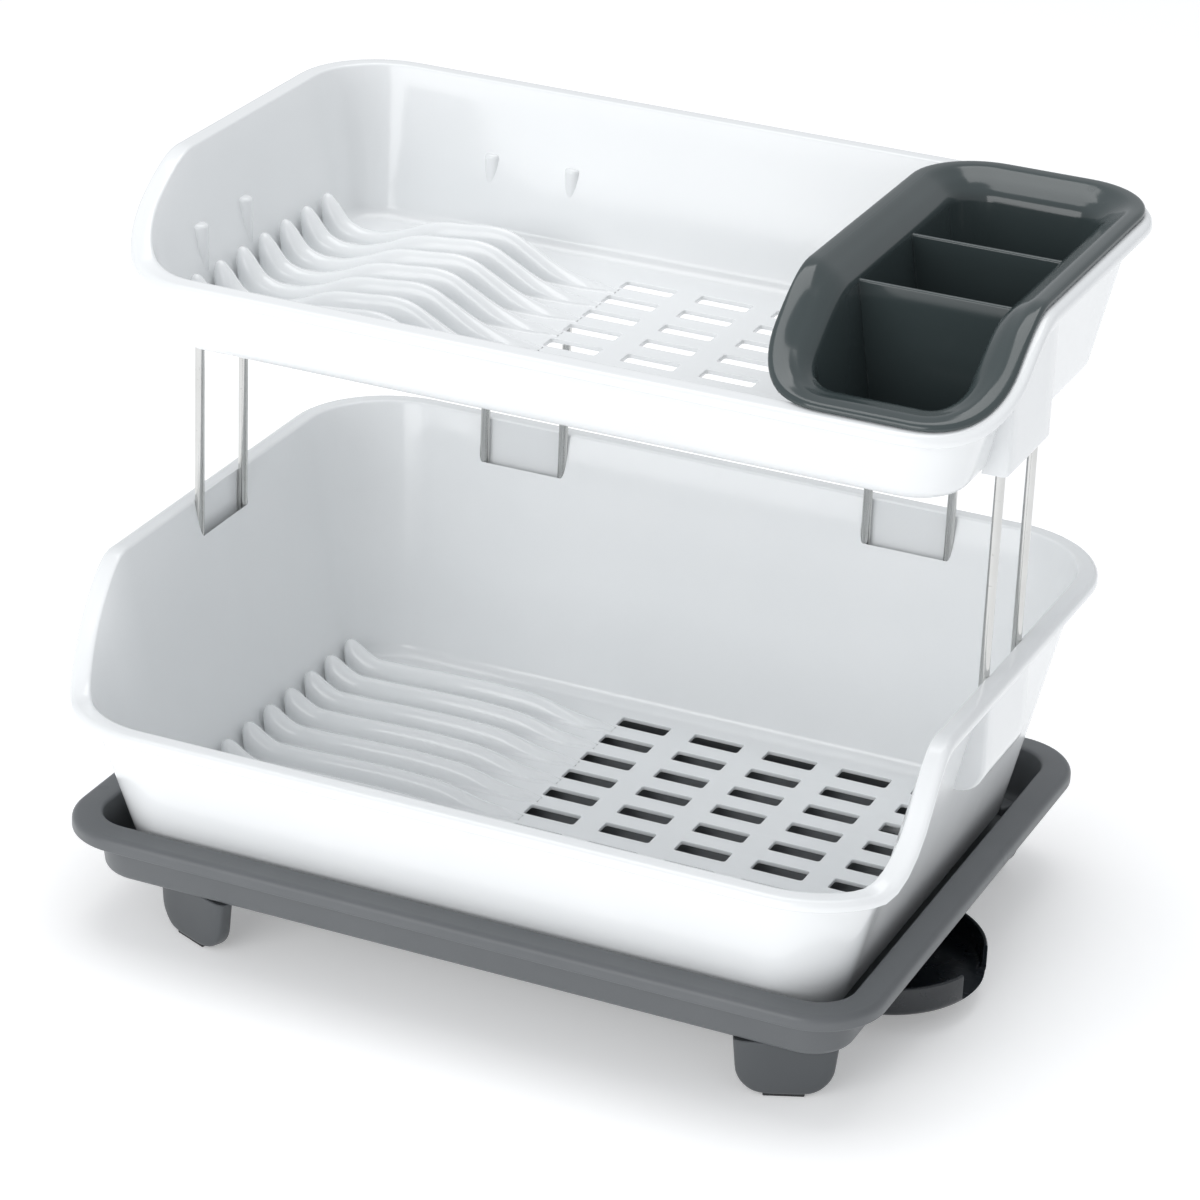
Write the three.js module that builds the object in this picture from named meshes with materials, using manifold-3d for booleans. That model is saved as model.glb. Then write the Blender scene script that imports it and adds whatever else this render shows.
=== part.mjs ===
// Two-tier dish drying rack with a drip tray, a swivel drain spout and a cutlery holder.
// Millimetres, +Z up, +X to the right, +Y to the back. The rack stands on Z = 0 and the
// origin is under the middle of its footprint.
import * as THREE from 'three';
import { mergeVertices } from 'three/addons/utils/BufferGeometryUtils.js';
import Module from 'manifold-3d';

const wasm = await Module();
wasm.setup();

// ---------------------------------------------------------------- driving dimensions

// Overall
const RACK_LENGTH = 464; // over the rim of the upper basket
const RACK_DEPTH = 341; // from the front rim of the lower basket to the back rim of the upper one
const REAR = RACK_DEPTH / 2;
const FRONT = -RACK_DEPTH / 2;

// Fits
const SEAT_GAP = 0.3; // between pieces that rest on each other
const SLIDE_GAP = 0.3; // radial gap of a wire in its bore, or of a stub in its socket

// Moulded baskets, shared
const DRAFT = 12; // degrees of every basket wall
const BASKET_WALL = 2.4;
const BASKET_FLOOR = 2.4;
const LIP_WIDTH = 8;
const LIP_THICKNESS = 2.4;
const LIP_DROP = 5.5; // how far the rolled edge turns down
const LIP_ROUND = 1.4;
const LIP_FALL = 0.4; // the lip's underside falls this far outwards
const FLOOR_ROUND = 4;

// Drip tray
const TRAY_INSET = 9; // the lower basket's rim reaches this far past the tray's, at each end
const TRAY_DEPTH_INSET = 4; // the same at the front and the back
const TRAY_SHIFT = -1.5; // the tray's middle from the lower basket's, along Y
const TRAY_FLOOR_Z = 30; // underside
const TRAY_HEIGHT = 31;
const TRAY_FLANGE = 13;
const TRAY_LIP_DROP = 8;
const TRAY_FLOOR = 2.4;
const TRAY_WALL = 2.4;
const TRAY_DRAFT = 5;
const TRAY_BASE_CORNER = 22;
const TRAY_ROUND = 4;
const TRAY_ROLL = 3; // outer round of the flange
const TRAY_EDGE = 1.6; // round between the flange and the wall

// Lower basket
const LOWER_INSET = 7; // the upper rim reaches this far past the lower one, at each end
const REAR_OVERHANG = 4; // the same at the back
const DRAIN_HEIGHT = 7.2; // from the tray's floor to the underside of the basket
const LOWER_FRONT_HEIGHT = 80.4; // underside to rim, at the front
const LOWER_BACK_HEIGHT = 138.4; // the same at the back
const LOWER_RISE_START = 24; // behind the front rim edge
const LOWER_RISE_LENGTH = 57;
const LOWER_FOOT_CORNER = 32;
const LOWER_RIM_CORNER = 58;
const STAND_LENGTH = 26;
const STAND_WIDTH = 5;

// Upper basket
const TIER_GAP = 105.6; // lower rim to the upper basket's underside
const UPPER_DEPTH = 259;
const UPPER_FRONT_HEIGHT = 39.4;
const UPPER_BACK_HEIGHT = 81;
const UPPER_RISE_START = 2;
const UPPER_RISE_LENGTH = 78;
const UPPER_FOOT_CORNER = 26;
const UPPER_RIM_CORNER = 48;

// Drain slots and plate ribs
const ROW_PITCH = 23;
const COLUMN_PITCH = 41.8;
const SLOT_LENGTH = 28;
const SLOT_WIDTH = 11;
const SLOT_COLUMNS = 5;
const SLOT_END_ROUND = 1.4;
const SLOT_MARGIN = 9; // floor left between a slot and the foot of a wall
const LOWER_FIRST_COLUMN = -14; // middle of the first column of slots, along X
const UPPER_FIRST_COLUMN = -25;
const LOWER_FIRST_ROW = 20.6; // from the back foot of the wall to the middle of the first row
const UPPER_FIRST_ROW = 31.6;
const RIB_WIDTH = 13;
const RIB_ROUND = 3.5;
const RIB_SINK = 1.2; // how deep a rib runs into the floor
const RIB_EDGE = 0.2; // least height of a rib's side

// Height of a rib above the floor: [share of the rib's length from the wall, height]
const LOWER_RIB_SHAPE = [[0, 18], [0.04, 17], [0.08, 12.5], [0.12, 9.5], [0.2, 9], [0.38, 10],
  [0.6, 10.5], [0.75, 8.8], [0.86, 4], [1, 0.4]];
const UPPER_RIB_SHAPE = [[0, 25], [0.04, 22], [0.08, 12], [0.13, 8], [0.2, 7], [0.29, 11], [0.38, 17.5],
  [0.5, 20.5], [0.66, 20.5], [0.72, 15.5], [0.8, 8.5], [0.9, 3], [1, 0.4]];

// Wire legs
const WIRE_DIAMETER = 5;
const PRONG_SPACING = 46;
const WIRE_BEND = 12; // centre-line radius at the foot of the U
const SIDE_WIRE_INSET = 19; // from the upper rim's edge to the wire's axis, at the sides
const REAR_WIRE_INSET = 17; // the same at the back
const SIDE_WIRE_BACK = 164.5; // from the upper basket's back rim to the middle of a side wire leg
const REAR_WIRE_X = 110;
const POCKET_DEPTH = 46; // below the lower rim
const BORE_DEPTH = 40.4; // above the upper basket's underside
const SOCKET_WALL = 1.6;
const HOUSING_BELOW = 14; // below the floor of the pocket
const HOUSING_OUT = 3.2; // material outside the pocket
const HOUSING_ENDS = 2; // more at each end of the pair of prongs
const HOUSING_TOE = 3; // chamfer under the outer face
const UPPER_HOUSING_HEIGHT = 58.4;
const UPPER_HOUSING_TOE = 1.2;
const BORE_CAP = 4;

// Tray feet and their pads
const FOOT_INSET_LEFT = 69; // from the tray's left edge to the foot's middle
const FOOT_INSET_RIGHT = 46;
const FOOT_INSET_Y = 29;
const FOOT_TURN = 24; // degrees, each foot faces its own corner
const FOOT_WIDTH = 51;
const FOOT_TAPER = 3; // narrower at the bottom, on each side
const FOOT_DEPTH = 11;
const FOOT_ROUND = 13;
const FOOT_BOTTOM = 1.2;
const STUB_LENGTH = 32;
const STUB_WIDTH = 6;
const STUB_HEIGHT = 5.5;
const PAD_LENGTH = 20;
const PAD_WIDTH = 8;
const PAD_HEIGHT = 2.2;
const PAD_ROUND = 2;

// Drain spout
const SPOUT_INSET = 77; // from the tray's right edge to the pivot
const SPOUT_PIVOT_Y = -21;
const SPOUT_RADIUS = 52;
const SPOUT_REACH = 34; // pivot to the middle of the round dish
const SPOUT_DROP = 3; // below the tray
const SPOUT_HEIGHT = 16;
const SPOUT_WALL = 2;
const SPOUT_MOUTH = 34; // width of the pouring mouth
const HUB_RADIUS = 12.5;
const HUB_BORE = 9.5;
const NUT_RADIUS = 20;
const NUT_HEIGHT = 3.6;
const NUT_NOTCH_DEPTH = 2.5;
const NUT_NOTCH_WIDTH = 4;
const NUT_NOTCH_FLOOR = 1.2;
const SEAL_RADIUS = 19;

// Cutlery holder
const HOLDER_WIDTH = 120;
const HOLDER_INSET = 5; // flange edge inside the basket's rim edge
const HOLDER_FLANGE = 18;
const HOLDER_FLANGE_THICKNESS = 3.4;
const HOLDER_SEAT_WIDTH = 7; // level part of the flange, over the basket's rim
const HOLDER_SEAT_DIP = 6; // from the level part down to the wall
const HOLDER_DRAFT = 9;
const HOLDER_WALL = 2.2;
const HOLDER_ROUND = 3; // at the foot of the walls
const HOLDER_EDGE = 1; // lower edge of the flange
const HOLDER_MOUTH_ROUND = 2; // between the flange and the inner face
const HOLDER_RAISE = 3; // above the basket's floor
const HOLDER_FOOT_CORNER = 14;
const HOLDER_RIM_CORNER = 38;
const HOLDER_SEAT_GAP = 0.5;
const DIVIDER_THICKNESS = 2.4;
const DIVIDER_DROP = 12; // below the flange
const HOLDER_CELLS = 3;

// Mesh detail
const CORNER_STEPS = 5;
const RISE_STEPS = 7;
const WIRE_STEPS = 10;
const BEND_STEPS = 5;
const BORE_STEPS = 12;
const HUB_STEPS = 28;
const DISH_STEPS = 40;
const WELD = 1e-4; // points closer than this are one point
const TIE = 1e-6; // diagonals closer than this count as equal
const CUT_OVER = 1; // how far a cutter runs past a face
const ARC_MIDDLE = 1 - Math.SQRT1_2; // the middle of a quarter circle, as a share of its radius

// ---------------------------------------------------------------- sizes that follow

const LOWER_LENGTH = RACK_LENGTH - 2 * LOWER_INSET;
const LOWER_FLOOR_Z = TRAY_FLOOR_Z + TRAY_FLOOR + DRAIN_HEIGHT;
const LOWER_RIM_FRONT = LOWER_FLOOR_Z + LOWER_FRONT_HEIGHT;
const LOWER_RIM_BACK = LOWER_FLOOR_Z + LOWER_BACK_HEIGHT;
const UPPER_FLOOR_Z = LOWER_RIM_BACK + TIER_GAP;
const UPPER_RIM_FRONT = UPPER_FLOOR_Z + UPPER_FRONT_HEIGHT;
const UPPER_RIM_BACK = UPPER_FLOOR_Z + UPPER_BACK_HEIGHT;
const POCKET_FLOOR_Z = LOWER_RIM_BACK - POCKET_DEPTH;
const BORE_TOP = UPPER_FLOOR_Z + BORE_DEPTH;
const TRAY_LENGTH = LOWER_LENGTH - 2 * TRAY_INSET;
const TRAY_DEPTH = RACK_DEPTH - REAR_OVERHANG - 2 * TRAY_DEPTH_INSET;
const TRAY_CENTRE_Y = TRAY_SHIFT - REAR_OVERHANG / 2;
const TRAY_RIM_Z = TRAY_FLOOR_Z + TRAY_HEIGHT;
const SPOUT_PIVOT_X = TRAY_LENGTH / 2 - SPOUT_INSET;
const SPOUT_TOP = TRAY_FLOOR_Z - SPOUT_DROP;
const SPOUT_BOTTOM = SPOUT_TOP - SPOUT_HEIGHT;
const HOLDER_FLOOR_Z = UPPER_FLOOR_Z + BASKET_FLOOR + HOLDER_RAISE;

// ---------------------------------------------------------------- finishes

const WHITE = { color: 0xf4f6f6, roughness: 0.28, metalness: 0 };
const TRAY_GREY = { color: 0x6d7275, roughness: 0.45, metalness: 0 };
const HOLDER_GREY = { color: 0x4b5456, roughness: 0.25, metalness: 0 };
const BLACK = { color: 0x15191b, roughness: 0.35, metalness: 0 };
const RUBBER = { color: 0x2c2f31, roughness: 0.85, metalness: 0 };
const CHROME = { color: 0xc9ccce, roughness: 0.12, metalness: 1 };

// ---------------------------------------------------------------- helpers

const slope = (degrees) => Math.tan(THREE.MathUtils.degToRad(degrees));

const gap = (p, q) => Math.hypot(p[0] - q[0], p[1] - q[1], p[2] - q[2]);

/**
 * A closed solid from rings of points that all have the same count; both ends get a fan.
 * Each side face is split along its shorter diagonal, so parallel walls get parallel facets.
 */
function ringSolid(rings) {
  const count = rings[0].length;
  const points = rings.flat();
  const triangles = [];
  for (let r = 0; r + 1 < rings.length; r += 1) {
    for (let i = 0; i < count; i += 1) {
      const j = (i + 1) % count;
      const a = r * count + i;
      const b = r * count + j;
      const rising = gap(points[a], points[b + count]);
      const falling = gap(points[b], points[a + count]);
      if (rising < falling + TIE) {
        triangles.push(a, b, b + count, a, b + count, a + count);
      } else {
        triangles.push(a, b, a + count, b, b + count, a + count);
      }
    }
  }
  const last = (rings.length - 1) * count;
  for (let i = 1; i + 1 < count; i += 1) {
    triangles.push(0, i + 1, i);
    triangles.push(last, last + i, last + i + 1);
  }
  const geometry = new THREE.BufferGeometry();
  geometry.setAttribute('position', new THREE.Float32BufferAttribute(points.flat(), 3));
  geometry.setIndex(triangles);
  return geometry;
}

function toManifold(geometry) {
  const bare = geometry.clone();
  bare.deleteAttribute('normal');
  bare.deleteAttribute('uv');
  const merged = mergeVertices(bare, WELD);
  return new wasm.Manifold(new wasm.Mesh({
    numProp: 3,
    vertProperties: Float32Array.from(merged.attributes.position.array),
    triVerts: Uint32Array.from(merged.index.array),
  }));
}

function toGeometry(manifold) {
  const mesh = manifold.getMesh();
  const geometry = new THREE.BufferGeometry();
  geometry.setAttribute('position', new THREE.Float32BufferAttribute(mesh.vertProperties, 3));
  geometry.setIndex(Array.from(mesh.triVerts));
  return geometry;
}

/** Joins, then cuts, a list of geometries. */
function combine(base, joined, cut) {
  let solid = toManifold(base);
  joined.forEach((piece) => {
    solid = solid.add(toManifold(piece));
  });
  cut.forEach((piece) => {
    solid = solid.subtract(toManifold(piece));
  });
  return toGeometry(solid);
}

function box(sizeX, sizeY, z0, z1, x = 0, y = 0, turn = 0) {
  const geometry = new THREE.BoxGeometry(sizeX, sizeY, z1 - z0);
  geometry.rotateZ(turn);
  geometry.translate(x, y, (z0 + z1) / 2);
  return geometry;
}

/** An upright cylinder or, with an inner radius, an upright ring. */
function ring(outer, inner, z0, z1, x, y, steps) {
  const profile = inner > 0
    ? [[inner, z0], [outer, z0], [outer, z1], [inner, z1], [inner, z0]]
    : [[0, z0], [outer, z0], [outer, z1], [0, z1]];
  const geometry = new THREE.LatheGeometry(profile.map(([r, z]) => new THREE.Vector2(r, z)), steps);
  geometry.rotateX(Math.PI / 2);
  geometry.translate(x, y, 0);
  return geometry;
}

/** An upright bar with round ends, longest along X, turned about Z. */
function slotBar(length, width, endRound, z0, z1, x, y, turn, steps) {
  const shape = new THREE.Shape();
  const a = length / 2;
  const b = width / 2;
  const r = Math.min(endRound, b);
  shape.moveTo(-a + r, -b);
  shape.lineTo(a - r, -b);
  shape.absarc(a - r, -b + r, r, -Math.PI / 2, 0, false);
  shape.absarc(a - r, b - r, r, 0, Math.PI / 2, false);
  shape.absarc(-a + r, b - r, r, Math.PI / 2, Math.PI, false);
  shape.absarc(-a + r, -b + r, r, Math.PI, 1.5 * Math.PI, false);
  const geometry = new THREE.ExtrudeGeometry(shape, {
    depth: z1 - z0, bevelEnabled: false, curveSegments: steps,
  });
  geometry.rotateZ(turn);
  geometry.translate(x, y, z0);
  return geometry;
}

/** Points with outward normals round a rectangle with rounded corners; stations are extra Y values. */
function outline(rect, corner, stations = []) {
  const points = [];
  const centres = [
    [rect.x1 - corner, rect.y1 - corner], [rect.x0 + corner, rect.y1 - corner],
    [rect.x0 + corner, rect.y0 + corner], [rect.x1 - corner, rect.y0 + corner],
  ];
  centres.forEach(([cx, cy], quarter) => {
    for (let step = 0; step <= CORNER_STEPS; step += 1) {
      const angle = (quarter + step / CORNER_STEPS) * (Math.PI / 2);
      const nx = Math.cos(angle);
      const ny = Math.sin(angle);
      points.push({ x: cx + corner * nx, y: cy + corner * ny, nx, ny });
    }
    if (quarter === 1) {
      stations.slice().reverse().forEach((y) => points.push({ x: rect.x0, y, nx: -1, ny: 0 }));
    }
    if (quarter === 3) {
      stations.forEach((y) => points.push({ x: rect.x1, y, nx: 1, ny: 0 }));
    }
  });
  return points;
}

// ---------------------------------------------------------------- vessels

/**
 * A vessel is a floor, a drafted wall and a rim. Its foot and its rim line are rectangles with
 * rounded corners, and the wall is ruled between them. The rim rises from front to back.
 */
function vessel(spec) {
  const rimZ = (y) => {
    const t = THREE.MathUtils.clamp((y - spec.riseStart) / spec.riseLength, 0, 1);
    return spec.rimFront + (spec.rimBack - spec.rimFront) * t * t * (3 - 2 * t);
  };
  const backOffset = (spec.rimBack - spec.floorZ) * slope(spec.draft) + spec.lip;
  const frontOffset = (spec.rimFront - spec.floorZ) * slope(spec.draft) + spec.lip;
  const rim = spec.rim;
  const foot = {
    x0: rim.x0 + backOffset, x1: rim.x1 - backOffset, y0: rim.y0 + frontOffset, y1: rim.y1 - backOffset,
  };
  const low = Math.max(rim.y0 + spec.rimCorner, foot.y0 + spec.footCorner);
  const high = Math.min(rim.y1 - spec.rimCorner, foot.y1 - spec.footCorner);
  const stations = [];
  for (let step = 0; step <= RISE_STEPS; step += 1) {
    const y = spec.riseStart + (spec.riseLength * step) / RISE_STEPS;
    if (y > low + CUT_OVER && y < high - CUT_OVER) {
      stations.push(y);
    }
  }
  const top = outline(rim, spec.rimCorner, stations);
  const base = outline(foot, spec.footCorner, stations);
  const points = base.map((p, i) => ({
    nx: p.nx,
    ny: p.ny,
    foot: [p.x, p.y],
    wallTop: [top[i].x - p.nx * spec.lip, top[i].y - p.ny * spec.lip],
    rimZ: rimZ(top[i].y - p.ny * spec.lip),
  }));
  return { ...spec, rimZ, foot, points };
}

/** A level ring on the wall's outer face at a height, moved out along the normals. */
function wallRing(shape, out, z) {
  return shape.points.map((p) => {
    const t = Math.max(0, (z - shape.floorZ) / (p.rimZ - shape.floorZ));
    return [
      THREE.MathUtils.lerp(p.foot[0], p.wallTop[0], t) + p.nx * out,
      THREE.MathUtils.lerp(p.foot[1], p.wallTop[1], t) + p.ny * out,
      z,
    ];
  });
}

/** A ring along the rim line, moved out from the wall's outer face and up from the rim. */
function rimRing(shape, out, up) {
  return shape.points.map((p) => {
    const x = p.wallTop[0] + p.nx * out;
    const y = p.wallTop[1] + p.ny * out;
    return [x, y, shape.rimZ(y) + up];
  });
}

/** The room inside a vessel, from a height to above its rim, its sides moved out into the wall. */
function roomInside(shape, out, low) {
  const top = rimRing(shape, out, 0);
  return ringSolid([wallRing(shape, out, low), top, top.map(([x, y]) => [x, y, shape.rimBack + LIP_WIDTH])]);
}

/** X of the left wall's middle at a place and a height. */
function leftWallX(shape, y, z) {
  const t = (z - shape.floorZ) / (shape.rimZ(y) - shape.floorZ);
  return THREE.MathUtils.lerp(shape.foot.x0, shape.rim.x0 + shape.lip, t) + BASKET_WALL / 2;
}

// ---------------------------------------------------------------- baskets

/** The basket's floor, its drafted walls and its rolled lip, in one closed shell. */
function basketShell(basket) {
  const floorTop = basket.floorZ + BASKET_FLOOR;
  const inner = -BASKET_WALL;
  const middle = FLOOR_ROUND * ARC_MIDDLE;
  return ringSolid([
    wallRing(basket, -FLOOR_ROUND, basket.floorZ),
    wallRing(basket, -middle, basket.floorZ + middle),
    wallRing(basket, 0, basket.floorZ + FLOOR_ROUND),
    rimRing(basket, 0, -LIP_THICKNESS),
    rimRing(basket, LIP_WIDTH - LIP_THICKNESS, -LIP_THICKNESS - LIP_FALL),
    rimRing(basket, LIP_WIDTH - LIP_THICKNESS, -LIP_DROP),
    rimRing(basket, LIP_WIDTH, -LIP_DROP),
    rimRing(basket, LIP_WIDTH, -LIP_ROUND),
    rimRing(basket, LIP_WIDTH - LIP_ROUND, 0),
    rimRing(basket, inner + LIP_ROUND, 0),
    rimRing(basket, inner, -LIP_ROUND),
    wallRing(basket, inner, floorTop + FLOOR_ROUND),
    wallRing(basket, inner - middle, floorTop + middle),
    wallRing(basket, inner - FLOOR_ROUND, floorTop),
  ]);
}

/** The rows of drain slots: Y of each, from the back to the front of the floor. */
function slotRows(basket) {
  const back = basket.foot.y1 - basket.firstRow;
  const front = basket.foot.y0 + BASKET_WALL + SLOT_MARGIN + SLOT_WIDTH / 2;
  const rows = Math.floor((back - front) / ROW_PITCH) + 1;
  return Array.from({ length: rows }, (_, row) => back - row * ROW_PITCH);
}

function drainSlots(basket) {
  const reach = basket.foot.x1 - BASKET_WALL - SLOT_MARGIN - SLOT_LENGTH / 2;
  const slots = [];
  slotRows(basket).forEach((y) => {
    for (let column = 0; column < SLOT_COLUMNS; column += 1) {
      const x = basket.firstColumn + column * COLUMN_PITCH;
      if (x <= reach) {
        slots.push(slotBar(SLOT_LENGTH, SLOT_WIDTH, SLOT_END_ROUND, basket.floorZ - CUT_OVER,
          basket.floorZ + BASKET_FLOOR + CUT_OVER, x, y, 0, 1));
      }
    }
  });
  return slots;
}

/** One plate rib with a rounded back, running in from the left wall between two rows of slots. */
function plateRib(basket, y) {
  const floorTop = basket.floorZ + BASKET_FLOOR;
  const low = floorTop - RIB_SINK;
  const start = leftWallX(basket, y, floorTop + basket.ribShape[0][1]);
  const end = basket.firstColumn - SLOT_LENGTH / 2 + RIB_ROUND;
  const half = RIB_WIDTH / 2;
  return ringSolid(basket.ribShape.map(([share, height]) => {
    const top = floorTop + height;
    const shoulder = Math.max(low + RIB_EDGE, top - RIB_ROUND);
    const section = [[-half, low], [half, low], [half, shoulder],
      [half - RIB_ROUND, top], [RIB_ROUND - half, top], [-half, shoulder]];
    return section.map(([side, z]) => {
      const x = share === 0 ? leftWallX(basket, y, z) : THREE.MathUtils.lerp(start, end, share);
      return [x, y + side, z];
    });
  }));
}

const plateRibs = (basket) => slotRows(basket).slice(0, -1).map((y) => plateRib(basket, y - ROW_PITCH / 2));

// ---------------------------------------------------------------- layout of the two baskets

const lower = vessel({
  rim: { x0: -LOWER_LENGTH / 2, x1: LOWER_LENGTH / 2, y0: FRONT, y1: REAR - REAR_OVERHANG },
  rimCorner: LOWER_RIM_CORNER,
  footCorner: LOWER_FOOT_CORNER,
  lip: LIP_WIDTH,
  draft: DRAFT,
  floorZ: LOWER_FLOOR_Z,
  rimFront: LOWER_RIM_FRONT,
  rimBack: LOWER_RIM_BACK,
  riseStart: FRONT + LOWER_RISE_START,
  riseLength: LOWER_RISE_LENGTH,
  firstColumn: LOWER_FIRST_COLUMN,
  firstRow: LOWER_FIRST_ROW,
  ribShape: LOWER_RIB_SHAPE,
});

const upper = vessel({
  rim: { x0: -RACK_LENGTH / 2, x1: RACK_LENGTH / 2, y0: REAR - UPPER_DEPTH, y1: REAR },
  rimCorner: UPPER_RIM_CORNER,
  footCorner: UPPER_FOOT_CORNER,
  lip: LIP_WIDTH,
  draft: DRAFT,
  floorZ: UPPER_FLOOR_Z,
  rimFront: UPPER_RIM_FRONT,
  rimBack: UPPER_RIM_BACK,
  riseStart: REAR - UPPER_DEPTH + UPPER_RISE_START,
  riseLength: UPPER_RISE_LENGTH,
  firstColumn: UPPER_FIRST_COLUMN,
  firstRow: UPPER_FIRST_ROW,
  ribShape: UPPER_RIB_SHAPE,
});

// The four wire legs: middle of each pair of prongs, and the turn of the pair about Z.
const WIRES = [
  { name: 'left', x: -RACK_LENGTH / 2 + SIDE_WIRE_INSET, y: REAR - SIDE_WIRE_BACK, out: [-1, 0] },
  { name: 'right', x: RACK_LENGTH / 2 - SIDE_WIRE_INSET, y: REAR - SIDE_WIRE_BACK, out: [1, 0] },
  { name: 'rear_left', x: -REAR_WIRE_X, y: REAR - REAR_WIRE_INSET, out: [0, 1] },
  { name: 'rear_right', x: REAR_WIRE_X, y: REAR - REAR_WIRE_INSET, out: [0, 1] },
];

const acrossTurn = (wire) => (wire.out[0] === 0 ? 0 : Math.PI / 2);
const prongs = (wire) => [-1, 1].map((side) => ({
  x: wire.x + (wire.out[0] === 0 ? (side * PRONG_SPACING) / 2 : 0),
  y: wire.y + (wire.out[0] === 0 ? 0 : (side * PRONG_SPACING) / 2),
}));

const boreRadius = WIRE_DIAMETER / 2 + SLIDE_GAP;
const housingLength = PRONG_SPACING + 2 * (boreRadius + SOCKET_WALL + HOUSING_ENDS);

/** A block outside a basket's wall with a slanted underside, trimmed to stay out of the room. */
function wireHousing(wire, z0, z1, toe) {
  const inner = -boreRadius - SOCKET_WALL;
  const outer = boreRadius + HOUSING_OUT;
  const shape = new THREE.Shape();
  shape.moveTo(inner, z0);
  shape.lineTo(outer - toe, z0);
  shape.lineTo(outer, z0 + toe);
  shape.lineTo(outer, z1 - toe);
  shape.lineTo(outer - toe / 2, z1);
  shape.lineTo(inner, z1);
  shape.closePath();
  const geometry = new THREE.ExtrudeGeometry(shape, { depth: housingLength, bevelEnabled: false });
  geometry.translate(0, 0, -housingLength / 2);
  geometry.rotateX(Math.PI / 2);
  geometry.rotateZ(Math.atan2(wire.out[1], wire.out[0]));
  geometry.translate(wire.x, wire.y, 0);
  return geometry;
}

function trimmed(geometry, room) {
  return toGeometry(toManifold(geometry).subtract(toManifold(room)));
}

// ---------------------------------------------------------------- pieces

/** Four short stands under the lower basket that keep its floor above the drained water. */
function basketStands() {
  const bottom = TRAY_FLOOR_Z + TRAY_FLOOR + SEAT_GAP;
  const top = lower.floorZ + BASKET_FLOOR / 2;
  const x = lower.foot.x1 - LOWER_FOOT_CORNER - STAND_LENGTH / 2;
  const rows = slotRows(lower);
  const places = [rows[1], rows[rows.length - 2]].map((y) => y - ROW_PITCH / 2 + STAND_WIDTH / 2);
  return places.flatMap((y) => [-x, x].map((side) => box(STAND_LENGTH, STAND_WIDTH, bottom, top, side, y)));
}

function makeLowerBasket() {
  const room = roomInside(lower, -BASKET_WALL / 2, LOWER_FLOOR_Z + BASKET_FLOOR / 2);
  const housings = WIRES.map((wire) => trimmed(
    wireHousing(wire, POCKET_FLOOR_Z - HOUSING_BELOW, LOWER_RIM_BACK - LIP_THICKNESS / 2, HOUSING_TOE),
    room,
  ));
  const pockets = WIRES.map((wire) => slotBar(PRONG_SPACING + 2 * boreRadius, 2 * boreRadius, boreRadius,
    POCKET_FLOOR_Z, LOWER_RIM_BACK + CUT_OVER, wire.x, wire.y, acrossTurn(wire), 4));
  return combine(basketShell(lower), [...housings, ...basketStands(), ...plateRibs(lower)],
    [...pockets, ...drainSlots(lower)]);
}

function makeUpperBasket() {
  const room = roomInside(upper, -BASKET_WALL / 2, UPPER_FLOOR_Z + BASKET_FLOOR / 2);
  const housings = WIRES.map((wire) => trimmed(
    wireHousing(wire, UPPER_FLOOR_Z, UPPER_FLOOR_Z + UPPER_HOUSING_HEIGHT, UPPER_HOUSING_TOE),
    room,
  ));
  const bosses = WIRES.flatMap((wire) => prongs(wire).map(({ x, y }) => ring(
    boreRadius + SOCKET_WALL, 0, UPPER_FLOOR_Z + BASKET_FLOOR, BORE_TOP + BORE_CAP, x, y, BORE_STEPS)));
  const bores = WIRES.flatMap((wire) => prongs(wire).map(({ x, y }) => ring(
    boreRadius, 0, UPPER_FLOOR_Z - CUT_OVER, BORE_TOP, x, y, BORE_STEPS)));
  return combine(basketShell(upper), [...housings, ...bosses, ...plateRibs(upper)],
    [...bores, ...drainSlots(upper)]);
}

/** One U of round wire: two upright prongs joined by a bend at the foot. */
function makeWireLeg(wire) {
  const half = PRONG_SPACING / 2;
  const foot = POCKET_FLOOR_Z + SEAT_GAP + WIRE_DIAMETER / 2;
  const top = BORE_TOP - SEAT_GAP;
  const path = [[-half, top, 0]];
  for (let step = 0; step <= BEND_STEPS; step += 1) {
    const angle = (step / BEND_STEPS) * (Math.PI / 2);
    path.push([-half + WIRE_BEND * (1 - Math.cos(angle)), foot + WIRE_BEND * (1 - Math.sin(angle)), angle]);
  }
  for (let step = 0; step <= BEND_STEPS; step += 1) {
    const angle = Math.PI / 2 + (step / BEND_STEPS) * (Math.PI / 2);
    path.push([half - WIRE_BEND * (1 + Math.cos(angle)), foot + WIRE_BEND * (1 - Math.sin(angle)), angle]);
  }
  path.push([half, top, Math.PI]);
  const rings = path.map(([u, z, angle]) => Array.from({ length: WIRE_STEPS }, (_, i) => {
    const turn = (i / WIRE_STEPS) * Math.PI * 2;
    const side = (WIRE_DIAMETER / 2) * Math.cos(turn);
    return [u - side * Math.cos(angle), (WIRE_DIAMETER / 2) * Math.sin(turn), z - side * Math.sin(angle)];
  }));
  const geometry = ringSolid(rings);
  geometry.rotateZ(acrossTurn(wire));
  geometry.translate(wire.x, wire.y, 0);
  return geometry;
}

/** Middle of each tray foot, with the turn that faces it to its corner. */
const FEET = [-1, 1].flatMap((sy) => [-1, 1].map((sx) => ({
  name: `${sy < 0 ? 'front' : 'rear'}_${sx < 0 ? 'left' : 'right'}`,
  x: sx < 0 ? FOOT_INSET_LEFT - TRAY_LENGTH / 2 : TRAY_LENGTH / 2 - FOOT_INSET_RIGHT,
  y: TRAY_CENTRE_Y + sy * (TRAY_DEPTH / 2 - FOOT_INSET_Y),
  turn: THREE.MathUtils.degToRad(-sx * sy * FOOT_TURN),
})));

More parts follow.
